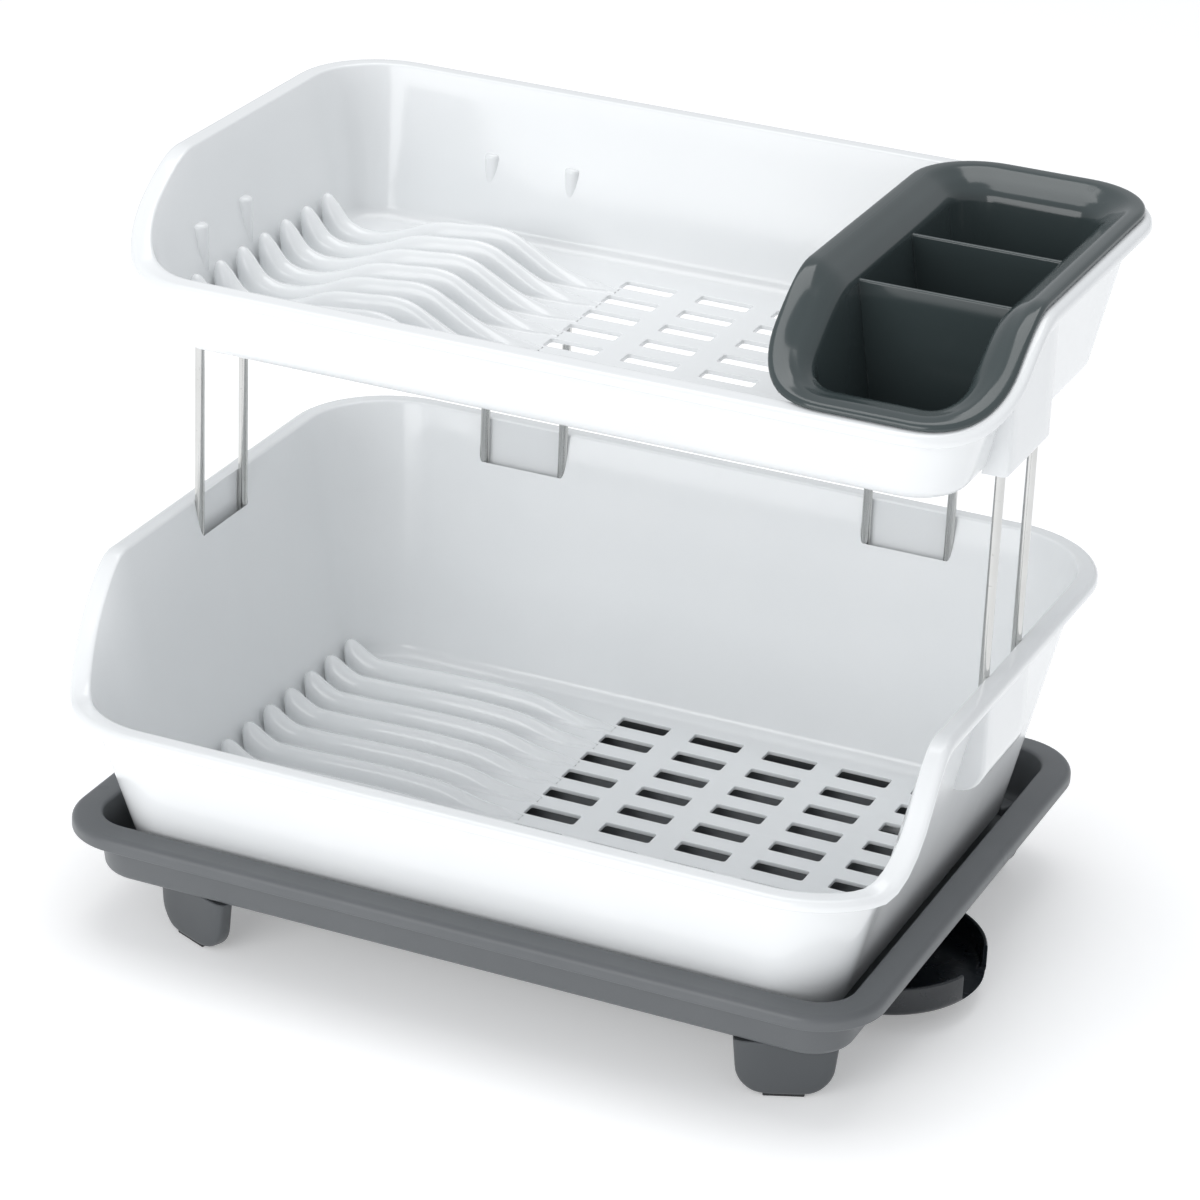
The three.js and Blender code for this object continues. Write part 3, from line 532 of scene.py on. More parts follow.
def build_moulded_group() -> bpy.types.NodeTree:
    """The skin of a moulding: a slow sink and swell, a fine grain and a few hair scratches.

    Returns:
        Group with inputs Grain and Scratches; outputs Shade, Gloss (higher is duller) and Height.
    """
    group = Group("moulded_skin", {"Grain": 1.0, "Scratches": 0.3},
                  {"Shade": "NodeSocketFloat", "Gloss": "NodeSocketFloat", "Height": "NodeSocketFloat"})
    place = group.node("ShaderNodeTexCoord").outputs["Object"]
    swell = group.noise(place, SWELL_WAVES, 2.0)
    grain = group.noise(place, GRAIN_WAVES, 2.0)
    cloud = group.noise(place, CLOUD_WAVES, 4.0)
    stretch = group.node("ShaderNodeMapping")
    stretch.inputs["Scale"].default_value = HAIR_STRETCH
    stretch.inputs["Rotation"].default_value = HAIR_TURN
    group.link(place, stretch.inputs["Vector"])
    hair = group.noise(stretch.outputs["Vector"], HAIR_WAVES, 6.0)
    scratch = group.math("MULTIPLY", group.ramp(hair.outputs["Fac"], 0.66, 0.72),
                         group.source.outputs["Scratches"])
    fine = group.math("MULTIPLY", grain.outputs["Fac"], group.source.outputs["Grain"])
    marks = group.math("SUBTRACT", group.math("MULTIPLY", fine, GRAIN_HEIGHT),
                       group.math("MULTIPLY", scratch, SCRATCH_DEPTH))
    height = group.math("ADD", group.math("MULTIPLY", swell.outputs["Fac"], SWELL_HEIGHT), marks)
    group.link(group.ramp(swell.outputs["Fac"], 0.3, 0.7), group.sink.inputs["Shade"])
    dulled = group.math("MULTIPLY", cloud.outputs["Fac"], CLOUD_DULLING)
    group.link(group.math("ADD", dulled, scratch), group.sink.inputs["Gloss"])
    group.link(height, group.sink.inputs["Height"])
    return group.tree


# The edge mask lightens rounded edges: partly wear, partly a painted highlight.
EDGE_WIDTH = 1.2 * MM
WEAR_AND_HIGHLIGHT_WAVES = 120.0


def build_edge_wear_and_highlight_group() -> bpy.types.NodeTree:
    """Edge wear and painted edge highlight: how far a rounded normal turns from the true one, broken up
    by noise.

    Returns:
        Group with inputs Width and Amount; output Mask.
    """
    group = Group("edge_wear_and_painted_highlight", {"Width": EDGE_WIDTH, "Amount": 1.0}, {"Mask": "NodeSocketFloat"})
    rounded = group.node("ShaderNodeBevel", samples=4)
    group.link(group.source.outputs["Width"], rounded.inputs["Radius"])
    true = group.node("ShaderNodeNewGeometry")
    dot = group.node("ShaderNodeVectorMath", operation="DOT_PRODUCT")
    group.link(rounded.outputs["Normal"], dot.inputs[0])
    group.link(true.outputs["Normal"], dot.inputs[1])
    bent = group.ramp(group.math("SUBTRACT", 1.0, dot.outputs["Value"]), 0.01, 0.22)
    place = group.node("ShaderNodeTexCoord").outputs["Object"]
    patches = group.ramp(group.noise(place, WEAR_AND_HIGHLIGHT_WAVES, 4.0).outputs["Fac"], 0.35, 0.65)
    worn_and_lit = group.math("MULTIPLY", bent, patches)
    group.link(group.math("MULTIPLY", worn_and_lit, group.source.outputs["Amount"]), group.sink.inputs["Mask"])
    return group.tree


SPOT_CELLS = 60.0  # cells for each metre
SPOT_WAVES = 22.0


def build_water_group() -> bpy.types.NodeTree:
    """Dried water marks: faint rings round scattered cells.

    Returns:
        Group with input Size; output Mask.
    """
    group = Group("water_marks", {"Size": SPOT_CELLS}, {"Mask": "NodeSocketFloat"})
    place = group.node("ShaderNodeTexCoord").outputs["Object"]
    cells = group.node("ShaderNodeTexVoronoi", feature="F1")
    group.link(place, cells.inputs["Vector"])
    group.link(group.source.outputs["Size"], cells.inputs["Scale"])
    inner = group.ramp(cells.outputs["Distance"], 0.16, 0.20)
    outer = group.ramp(cells.outputs["Distance"], 0.26, 0.21)
    sparse = group.ramp(group.noise(place, SPOT_WAVES, 2.0).outputs["Fac"], 0.56, 0.66)
    rings = group.math("MULTIPLY", inner, outer)
    group.link(group.math("MULTIPLY", rings, sparse), group.sink.inputs["Mask"])
    return group.tree


Colour = tuple[float, float, float]


class Coating:
    """A new material's node tree, with plain ways to fill it."""

    def __init__(self, name: str) -> None:
        """Starts the material.

        Args:
            name: the material's name.
        """
        self.made = bpy.data.materials.new(name)
        self.made.use_nodes = True
        self.tree = self.made.node_tree
        self.shader = self.tree.nodes["Principled BSDF"]

    def group(self, tree: bpy.types.NodeTree, **values: float) -> bpy.types.Node:
        """Places a shared group and sets its named inputs."""
        node = self.tree.nodes.new("ShaderNodeGroup")
        node.node_tree = tree
        for label, value in values.items():
            node.inputs[label].default_value = value
        return node

    def blend(self, share: bpy.types.NodeSocket, first: Colour | bpy.types.NodeSocket,
              second: Colour) -> bpy.types.NodeSocket:
        """Goes from a colour or a colour socket to a second colour by a share."""
        node = self.tree.nodes.new("ShaderNodeMix")
        node.data_type = "RGBA"
        if isinstance(first, tuple):
            node.inputs["A"].default_value = (*first, 1.0)
        else:
            self.tree.links.new(first, node.inputs["A"])
        node.inputs["B"].default_value = (*second, 1.0)
        self.tree.links.new(share, node.inputs["Factor"])
        return node.outputs["Result"]

    def scaled(self, value: bpy.types.NodeSocket, by: float,
               plus: float | bpy.types.NodeSocket) -> bpy.types.NodeSocket:
        """A value times a number, plus a number or another value."""
        node = self.tree.nodes.new("ShaderNodeMath")
        node.operation = "MULTIPLY_ADD"
        node.inputs[1].default_value = by
        if isinstance(plus, float):
            node.inputs[2].default_value = plus
        else:
            self.tree.links.new(plus, node.inputs[2])
        self.tree.links.new(value, node.inputs[0])
        return node.outputs["Value"]

    def finish(self, colour: bpy.types.NodeSocket, roughness: bpy.types.NodeSocket,
               height: bpy.types.NodeSocket, depth: float) -> bpy.types.Material:
        """Joins colour, roughness and relief to the shader.

        Args:
            colour: the surface colour.
            roughness: the surface roughness.
            height: the relief, 0 to 1.
            depth: how deep the relief is, in metres.

        Returns:
            The material.
        """
        bump = self.tree.nodes.new("ShaderNodeBump")
        bump.inputs["Distance"].default_value = depth
        self.tree.links.new(height, bump.inputs["Height"])
        self.tree.links.new(bump.outputs["Normal"], self.shader.inputs["Normal"])
        self.tree.links.new(colour, self.shader.inputs["Base Color"])
        self.tree.links.new(roughness, self.shader.inputs["Roughness"])
        return self.made


COAT_ROUGHNESS = 0.08


@dataclass(frozen=True)
class Plastic:
    """A moulded plastic or rubber finish.

    Attributes:
        name: the material's name.
        colour: its main colour, linear.
        deep: the colour it drifts to in its swells.
        worn_and_lit: the colour of worn edges, lighter than the body, partly a painted highlight.
        roughness: gloss at its smoothest.
        spread: how much the roughness rises in dull patches.
        grain: strength of the fine grain.
        scratches: strength of the hair scratches.
        wear_and_highlight: strength of the edge wear and painted edge highlight.
        bump: depth of the relief, in metres.
        coat: weight of the clear gloss on top.
        marks: how strongly dried water marks show.
    """

    name: str
    colour: Colour
    deep: Colour
    worn_and_lit: Colour
    roughness: float
    spread: float
    grain: float
    scratches: float
    wear_and_highlight: float
    bump: float
    coat: float = 0.0
    marks: float = 0.0

    def material(self, groups: dict[str, bpy.types.NodeTree]) -> bpy.types.Material:
        """Builds the material from the shared groups.

        Args:
            groups: the shared node groups by name.

        Returns:
            The material.
        """
        coating = Coating(self.name)
        skin = coating.group(groups["moulded"], Grain=self.grain, Scratches=self.scratches)
        edge = coating.group(groups["edge"], Amount=self.wear_and_highlight)
        drift = coating.blend(skin.outputs["Shade"], self.colour, self.deep)
        # Edges blend to the lighter edge colour: partly wear, partly a painted highlight.
        colour = coating.blend(edge.outputs["Mask"], drift, self.worn_and_lit)
        rough = coating.scaled(skin.outputs["Gloss"], self.spread, self.roughness)
        if self.marks > 0.0:
            water = coating.group(groups["water"])
            rough = coating.scaled(water.outputs["Mask"], self.marks, rough)
        coating.shader.inputs["Coat Weight"].default_value = self.coat
        coating.shader.inputs["Coat Roughness"].default_value = COAT_ROUGHNESS
        return coating.finish(colour, rough, skin.outputs["Height"], self.bump)


@dataclass(frozen=True)
class PlatedWire:
    """Bright plated wire: a mirror skin with hair scratches and dull patches.

    Attributes:
        name: the material's name.
        colour: colour of the plating.
        dull_colour: colour where it has gone dull.
        roughness: gloss at its brightest.
        spread: how much the roughness rises in dull patches.
        grain: strength of the fine grain.
        scratches: strength of the hair scratches.
        bump: depth of the relief, in metres.
    """

    name: str
    colour: Colour
    dull_colour: Colour
    roughness: float
    spread: float = 0.10
    grain: float = 0.2
    scratches: float = 0.6
    bump: float = 0.04 * MM

    def material(self, groups: dict[str, bpy.types.NodeTree]) -> bpy.types.Material:
        """Builds the material from the shared groups.

        Args:
            groups: the shared node groups by name.

        Returns:
            The material.
        """
        coating = Coating(self.name)
        coating.shader.inputs["Metallic"].default_value = 1.0
        skin = coating.group(groups["moulded"], Grain=self.grain, Scratches=self.scratches)
        colour = coating.blend(skin.outputs["Gloss"], self.colour, self.dull_colour)
        rough = coating.scaled(skin.outputs["Gloss"], self.spread, self.roughness)
        return coating.finish(colour, rough, skin.outputs["Height"], self.bump)


# Each edge colour is lighter than its body colour: painted edge highlight as well as wear.
BASKET_WHITE = Plastic(
    "basket_white", colour=(0.89, 0.905, 0.912), deep=(0.87, 0.887, 0.895), worn_and_lit=(0.92, 0.925, 0.93),
    roughness=0.16, spread=0.10, grain=0.5, scratches=0.25, wear_and_highlight=0.35, bump=0.3 * MM, coat=0.35,
    marks=0.05)
TRAY_GREY = Plastic(
    "tray_grey", colour=(0.135, 0.143, 0.150), deep=(0.118, 0.126, 0.133), worn_and_lit=(0.24, 0.25, 0.26),
    roughness=0.34, spread=0.16, grain=1.0, scratches=0.35, wear_and_highlight=0.6, bump=0.3 * MM, marks=0.15)
# A darker copy of the tray grey for the feet, which are the tray's own colour: painted shade under the
# tray.
SHADED_FOOT_GREY = Plastic(
    "foot_grey_painted_shade", colour=(0.088, 0.095, 0.101), deep=(0.074, 0.081, 0.087), worn_and_lit=(0.18, 0.19, 0.20),
    roughness=0.30, spread=0.16, grain=1.0, scratches=0.35, wear_and_highlight=0.6, bump=0.3 * MM)
HOLDER_GREY = Plastic(
    "holder_grey", colour=(0.052, 0.068, 0.070), deep=(0.045, 0.060, 0.062), worn_and_lit=(0.11, 0.125, 0.13),
    roughness=0.11, spread=0.10, grain=0.5, scratches=0.35, wear_and_highlight=0.5, bump=0.2 * MM, coat=0.15,
    marks=0.12)
SPOUT_BLACK = Plastic(
    "spout_black", colour=(0.012, 0.016, 0.020), deep=(0.008, 0.011, 0.015), worn_and_lit=(0.06, 0.07, 0.08),
    roughness=0.22, spread=0.15, grain=0.8, scratches=0.4, wear_and_highlight=0.5, bump=0.3 * MM, coat=0.2)
SOFT_RUBBER = Plastic(
    "soft_rubber", colour=(0.030, 0.031, 0.033), deep=(0.022, 0.023, 0.025), worn_and_lit=(0.08, 0.08, 0.08),
    roughness=0.62, spread=0.2, grain=2.0, scratches=0.2, wear_and_highlight=0.5, bump=0.4 * MM)
BRIGHT_WIRE = PlatedWire("bright_wire", (0.70, 0.70, 0.69), (0.52, 0.52, 0.50), roughness=0.10)


@dataclass
class Finishes:
    """Every finish of the rack, each built once."""

    made: dict[str, bpy.types.Material] = field(default_factory=dict)
    usual: dict[Slot, str] = field(default_factory=dict)

    def build(self) -> "Finishes":
        """Builds the shared groups and the materials."""
        groups = {"moulded": build_moulded_group(), "edge": build_edge_wear_and_highlight_group(),
                  "water": build_water_group()}
        recipes = {Slot.BASKET: BASKET_WHITE, Slot.TRAY: TRAY_GREY, Slot.HOLDER: HOLDER_GREY,
                   Slot.SPOUT: SPOUT_BLACK, Slot.RUBBER: SOFT_RUBBER, Slot.CHROME: BRIGHT_WIRE}
        for recipe in (*recipes.values(), SHADED_FOOT_GREY):
            self.made[recipe.name] = recipe.material(groups)
        self.usual = {slot: recipe.name for slot, recipe in recipes.items()}
        return self

    def dress(self, mesh: bpy.types.Mesh, slot: Slot, body: Body, *nodes: str,
              recipe: str = "") -> bpy.types.Object:
        """Puts a mesh in the scene with its finish, on its body, in place of CAD nodes.

        Args:
            mesh: the finished mesh.
            slot: the material slot it takes its finish from.
            body: the body it rides on.
            nodes: the CAD nodes it stands for.
            recipe: name of a finish other than the slot's usual one.

        Returns:
            The piece.
        """
        mesh.materials.clear()
        mesh.materials.append(self.made[recipe or self.usual[slot]])
        piece = new_object(mesh)
        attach(piece, body.value)
        if nodes:
            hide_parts(*nodes)
        LOG.info("%s: %d faces on %s", piece.name, len(mesh.polygons), body.value)
        return piece


# ------------------------------------------------------------------ vessels


OUTLINE_STEPS = (14, 24, 48)  # in a corner, along an end, along a side


@dataclass
class Vessel:
    """A drafted bowl whose wall is ruled between a foot outline and a rim outline.

    Attributes:
        x0: left edge of the rim.
        x1: right edge of the rim.
        y0: front edge of the rim.
        y1: back edge of the rim.
        rim_corner: corner radius of the rim.
        foot_corner: corner radius of the foot.
        lip: width of the lip outside the wall.
        draft: lean of the back wall from upright, in degrees.
        floor_z: underside of the floor.
        rim_front: height of the rim at the front.
        rim_back: height of the rim at the back.
        rise_start: Y where the rim starts to rise.
        rise_length: length over which it rises.
        foot: the foot rectangle, as left, right, front and back.
        foot_line: the outline of the foot.
        top_line: the outline of the wall at the rim.
        normals: unit normals out of both outlines.
    """

    x0: float
    x1: float
    y0: float
    y1: float
    rim_corner: float
    foot_corner: float
    lip: float
    draft: float
    floor_z: float
    rim_front: float
    rim_back: float
    rise_start: float
    rise_length: float
    foot: tuple[float, float, float, float] = field(init=False)
    foot_line: Array = field(init=False)
    top_line: Array = field(init=False)
    normals: Array = field(init=False)

    def __post_init__(self) -> None:
        """Works out the foot rectangle and both outlines, point for point."""
        lean = math.tan(math.radians(self.draft))
        back = (self.rim_back - self.floor_z) * lean + self.lip
        front = (self.rim_front - self.floor_z) * lean + self.lip
        self.foot = (self.x0 + back, self.x1 - back, self.y0 + front, self.y1 - back)
        self.foot_line, self.normals = rounded_outline(*self.foot, self.foot_corner, *OUTLINE_STEPS)
        rim = rounded_outline(self.x0, self.x1, self.y0, self.y1, self.rim_corner, *OUTLINE_STEPS)[0]
        self.top_line = rim - self.normals * self.lip

    def rim_z(self, y: Array) -> Array:
        """Height of the rim at a Y: level, then a smooth rise, then level again."""
        t = smoothstep((y - self.rise_start) / self.rise_length)
        return self.rim_front + (self.rim_back - self.rim_front) * t

    def sweep(self, share: Array, height: Array, out: Array, plumb: Array) -> Array:
        """Carries a profile round the vessel.

        A station's height is its share of the way from floor to rim plus its own height. On the
        wall its place is the ruled line from foot to rim at that height, moved out along the
        outline's normal. A plumb station hangs straight below the rim line instead.

        Args:
            share: 0 for the floor to 1 for the rim, one for each station.
            height: height above that level.
            out: distance out from the wall's outer face.
            plumb: whether the station hangs from the rim line.

        Returns:
            Points of shape (stations, outline points, 3).
        """
        share, height, out = share[:, None], height[:, None], out[:, None]
        reach = self.rim_z(self.top_line[:, 1])[None, :] - self.floor_z
        wall_z = self.floor_z + share * reach + height
        t = np.clip((wall_z - self.floor_z) / reach, 0.0, 1.0)
        t = np.where(plumb[:, None], 1.0, t)[..., None]
        flat = self.foot_line[None] * (1 - t) + self.top_line[None] * t
        flat = flat + self.normals[None] * out[..., None]
        z = np.where(plumb[:, None], self.rim_z(flat[..., 1]) + height, wall_z)
        return np.concatenate([flat, z[..., None]], axis=2)

    def wall_x(self, side: float, y: Array, z: Array, out: float) -> Array:
        """X of the left (side -1) or right (side 1) wall at a place, out from its outer face."""
        reach = self.rim_z(y) - self.floor_z
        t = np.clip((z - self.floor_z) / reach, 0.0, 1.0)
        foot = self.foot[1] if side > 0 else self.foot[0]
        top = (self.x1 if side > 0 else self.x0) - side * self.lip
        return foot + (top - foot) * t + side * out

    def back_y(self, z: Array, out: float) -> Array:
        """Y of the back wall at a height, out from its outer face."""
        t = np.clip((z - self.floor_z) / (self.rim_back - self.floor_z), 0.0, 1.0)
        return self.foot[3] + (self.y1 - self.lip - self.foot[3]) * t + out


@dataclass
class Profile:
    """A section across a vessel's wall, gathered station by station."""

    share: list[float] = field(default_factory=list)
    height: list[float] = field(default_factory=list)
    out: list[float] = field(default_factory=list)
    plumb: list[bool] = field(default_factory=list)

    def at(self, level: float, points: Array | list[tuple[float, float]],
           plumb: bool = False) -> "Profile":
        """Adds stations at one level.

        Args:
            level: 0 for heights above the floor, 1 for heights above the rim.
            points: (out, height) pairs.
            plumb: whether they hang from the rim line.

        Returns:
            This profile.
        """
        for out, height in np.asarray(points, float):
            self.share.append(level)
            self.height.append(height)
            self.out.append(out)
            self.plumb.append(plumb)
        return self

    def wall(self, out: float, low: float, high: float, steps: int, down: bool = False) -> "Profile":
        """Adds even stations up or down a plain stretch of wall, ends left out.

        Args:
            out: distance from the wall's outer face.
            low: height above the floor where the stretch starts.
            high: height above the rim where it ends.
            steps: number of steps.
            down: whether the stretch is taken from rim to floor.

        Returns:
            This profile.
        """
        shares = np.linspace(0.0, 1.0, steps + 1)[1:-1]
        for share in (shares[::-1] if down else shares):
            self.share.append(share)
            self.height.append(low * (1 - share) + high * share)
            self.out.append(out)
            self.plumb.append(False)
        return self

    def sweep(self, vessel: Vessel) -> Array:
        """Carries the gathered stations round a vessel."""
        return vessel.sweep(np.array(self.share), np.array(self.height), np.array(self.out),
                            np.array(self.plumb))


HOLE_STEPS = (3, 3, 2)  # in a corner, along an end, along a side
HOLE_RUN = 0.4 * MM  # how far a hole's edge runs out on the plate's face


def hole_through(centre: tuple[float, float], size: tuple[float, float], corner: float,
                 low: float, high: float, edge: float) -> tuple[Array, Array, Array]:
    """The wall of a hole through a level plate, with rounded edges above and below.

    The hole's outline is a rounded rectangle; at each face it widens along a quarter circle
    and then runs a little way out on the face.

    Args:
        centre: middle of the hole.
        size: its length and width.
        corner: its corner radius.
        low: lower face of the plate.
        high: upper face of the plate.
        edge: radius of the edges.

    Returns:
        The grid of the wall, its loop on the upper face and its loop on the lower face.
    """
    outline, normal = rounded_outline(centre[0] - size[0] / 2, centre[0] + size[0] / 2,
                                      centre[1] - size[1] / 2, centre[1] + size[1] / 2,
                                      corner, *HOLE_STEPS)
    top = arc((edge, high - edge), edge, 90.0, 180.0, 3)
    bottom = arc((edge, low + edge), edge, 180.0, 270.0, 3)
    reach = edge + HOLE_RUN
    section = np.concatenate([[[reach, high]], top, bottom, [[reach, low]]])
    flat = outline[None] + normal[None] * section[:, 0][:, None, None]
    height = np.broadcast_to(section[:, 1][:, None, None], flat.shape[:2] + (1,))
    grid = np.concatenate([flat, height], axis=2)
    return grid, grid[0], grid[-1]


# ------------------------------------------------------------------ wire legs


@dataclass
class WireLeg:
    """One U of round wire: two upright prongs joined by a bend at the foot.

    Attributes:
        name: which wall it stands in.
        x: middle of the pair of prongs.
        y: the same, along Y.
        facing: which way its wall faces.
        diameter: the wire's diameter.
        spacing: from prong to prong.
        bend: radius of its two bends.
        foot_z: lowest height of its axis.
        top_z: height of the prongs' ends.
        tip: length of the rounding at each end.
    """

    name: str
    x: float
    y: float
    facing: Facing
    diameter: float = 4.96 * MM
    spacing: float = 46 * MM
    bend: float = 12 * MM
    foot_z: float = 134.8 * MM
    top_z: float = 323.7 * MM
    tip: float = 1.0 * MM

    @property
    def along(self) -> Array:
        """Unit vector from one prong to the other."""
        return heading(self.facing.value + 90.0)

    @property
    def out(self) -> Array:
        """Unit vector out of the wall."""
        return heading(self.facing.value)

    @property
    def place(self) -> Array:
        """The middle of the pair of prongs, at height 0."""
        return np.array([self.x, self.y, 0.0])

    def prongs(self) -> list[tuple[float, float]]:
        """Places of the two prongs, in X and Y."""
        return [tuple((self.place + side * self.spacing / 2 * self.along)[:2]) for side in (-1.0, 1.0)]

    def mesh(self) -> bpy.types.Mesh:
        """The wire: a circle carried along a U, drawn in at its two ends to a rounded tip.

        The path is straight down, a quarter circle, the bottom, a quarter circle and straight
        up. Each circle lies across the path's direction.

        Returns:
            The mesh.
        """
        half, full = self.spacing / 2, self.diameter / 2
        low = self.foot_z + self.bend
        first = arc((-half + self.bend, low), self.bend, 180.0, 270.0, 10)
        second = arc((half - self.bend, low), self.bend, 270.0, 360.0, 10)
        heights = np.linspace(self.top_z - self.tip, low, 12)[:-1]
        down = np.stack([np.full_like(heights, -half), heights], axis=1)
        up = np.stack([np.full_like(heights, half), heights[::-1]], axis=1)
        tip = np.array([[-half, self.top_z], [-half, self.top_z], [-half, self.top_z - 0.4 * self.tip]])
        path = np.concatenate([tip, down, first, second, up, tip[::-1] * [-1, 1]])
        radius = np.full(len(path), full)
        radius[[0, -1]] = 0.0
        radius[[1, -2]] = full - 0.8 * self.tip
        radius[[2, -3]] = full - 0.25 * self.tip
        course = np.gradient(path, axis=0)
        course[:3] = (0.0, -1.0)
        course[-3:] = (0.0, 1.0)
        course = course / np.linalg.norm(course, axis=1, keepdims=True)
        across = np.stack([course[:, 1], -course[:, 0]], axis=1)
        turn = np.linspace(0.0, 2 * math.pi, 28, endpoint=False)[None, :]
        in_plane = radius[:, None] * np.cos(turn)
        s = path[:, 0][:, None] + across[:, 0][:, None] * in_plane
        z = path[:, 1][:, None] + across[:, 1][:, None] * in_plane
        depth = radius[:, None] * np.sin(turn)
        grid = (self.place + s[..., None] * self.along + depth[..., None] * self.out
                + z[..., None] * UP)
        return Shell().add_grid(grid).to_mesh(f"bent_wire_{self.name}", WIRE_CREASE)


WIRES = (
    WireLeg("left", -213 * MM, 6 * MM, Facing.LEFT),
    WireLeg("right", 213 * MM, 6 * MM, Facing.RIGHT),
    WireLeg("rear_left", -110 * MM, 153.5 * MM, Facing.BACK),
    WireLeg("rear_right", 110 * MM, 153.5 * MM, Facing.BACK),
)


# ------------------------------------------------------------------ baskets


@dataclass
class Basket:
    """A white basket with drain slots on the right, plate ribs on the left and wire housings.

    Attributes:
        name: the CAD node it stands for.
        body: the body it rides on.
        vessel: its outline.
        first_column: middle of the first column of slots.
        first_row: from the back foot of the wall to the middle of the first row.
        rib_places: shares of a rib's length where its height is given.
        rib_heights: heights of a rib there.
        wall: wall thickness.
        floor: floor thickness.
        fillet: radius between wall and floor.
        roll: radius over which the rim rolls down.
        lip_drop: how far the lip hangs below the rim.
        lip_wall: thickness of the hanging lip.
        rim_edge: radius of the rim's other edges.
        row_pitch: from row to row of slots, and from rib to rib.
        column_pitch: from column to column of slots.
        slot_size: length and width of a slot.
        slot_corner: corner radius of a slot.
        slot_edge: radius of the edge round a slot.
        slot_margin: least distance from a slot to the wall.
        columns: most columns of slots.
        rib_width: width of a rib.
        rib_nose: length of a rib's round nose.
        rib_power: power of the superellipse across a rib.
        rib_cove: width of the cove at a rib's foot.
        housing_corner: corner radius of a wire housing.
        housing_margin: from the wires to the ends of their housing.
    """

    name: str
    body: Body
    vessel: Vessel
    first_column: float
    first_row: float
    rib_places: tuple[float, ...]
    rib_heights: tuple[float, ...]
    wall: float = 2.4 * MM
    floor: float = 2.4 * MM
    fillet: float = 6 * MM
    roll: float = 3.6 * MM
    lip_drop: float = 5.5 * MM
    lip_wall: float = 2.2 * MM
    rim_edge: float = 1.2 * MM
    row_pitch: float = 23 * MM
    column_pitch: float = 41.8 * MM
    slot_size: tuple[float, float] = (28 * MM, 11 * MM)
    slot_corner: float = 1.4 * MM
    slot_edge: float = 0.5 * MM
    slot_margin: float = 9 * MM
    columns: int = 5
    rib_width: float = 13.4 * MM
    rib_nose: float = 7 * MM
    rib_power: float = 2.1
    rib_cove: float = 1.6 * MM
    housing_corner: float = 2.2 * MM
    housing_margin: float = 4.2 * MM

    def rows(self) -> Array:
        """Y of each row of slots, from the back to the front."""
        back = self.vessel.foot[3] - self.first_row
        front = self.vessel.foot[2] + self.wall + self.slot_margin + self.slot_size[1] / 2
        count = int((back - front) / self.row_pitch + 1e-6) + 1
        return back - self.row_pitch * np.arange(count)

    def slots(self) -> list[tuple[float, float]]:
        """Middle of each drain slot."""
        reach = self.vessel.foot[1] - self.wall - self.slot_margin - self.slot_size[0] / 2
        columns = self.first_column + self.column_pitch * np.arange(self.columns)
        return [(x, y) for y in self.rows() for x in columns if x <= reach]

    def section(self) -> Profile:
        """The wall's section: floor fillet, inner face, rolled rim, lip, outer face, foot."""
        wall, lip, roll, fillet = self.wall, self.vessel.lip, self.roll, self.fillet
        drop, thick, edge = self.lip_drop, self.lip_wall, self.rim_edge
        small = edge / 2
        profile = Profile()
        profile.at(0, arc((-wall - fillet, self.floor + fillet), fillet, -90.0, 0.0, 7))
        profile.wall(-wall, self.floor + fillet, -edge, 7)
        profile.at(1, arc((-wall + edge, -edge), edge, 180.0, 90.0, 4))
        profile.at(1, [(0.0, 0.0), (1.5 * MM, 0.0)], plumb=True)
        profile.at(1, arc((lip - roll, -roll), roll, 90.0, 0.0, 7), plumb=True)
        profile.at(1, arc((lip - small, -drop + small), small, 0.0, -90.0, 3), plumb=True)
        profile.at(1, arc((lip - thick + small, -drop + small), small, -90.0, -180.0, 3), plumb=True)
        profile.at(1, arc((lip - thick - edge, -thick - edge), edge, 0.0, 90.0, 3), plumb=True)
        profile.at(1, arc((edge, -thick - edge), edge, 90.0, 180.0, 3), plumb=True)
        profile.wall(0.0, fillet, -thick - 2.5 * edge, 7, down=True)
        profile.at(0, arc((-fillet, fillet), fillet, 0.0, -90.0, 7))
        return profile

    def shell(self) -> bpy.types.Mesh:
        """The shell: the section carried round the vessel, closed by a slotted floor."""
        surface = Shell()
        grid = self.section().sweep(self.vessel)
        surface.add_grid(grid)
        low, high = self.vessel.floor_z, self.vessel.floor_z + self.floor
        upper, lower = [grid[0]], [grid[-1]]
        for centre in self.slots():
            wall, top, bottom = hole_through(centre, self.slot_size, self.slot_corner, low, high,
                                             self.slot_edge)
            surface.add_grid(wall)
            upper.append(top)
            lower.append(bottom)
        surface.add_plate(upper).add_plate(lower)
        return surface.to_mesh(f"{self.name}_shell")

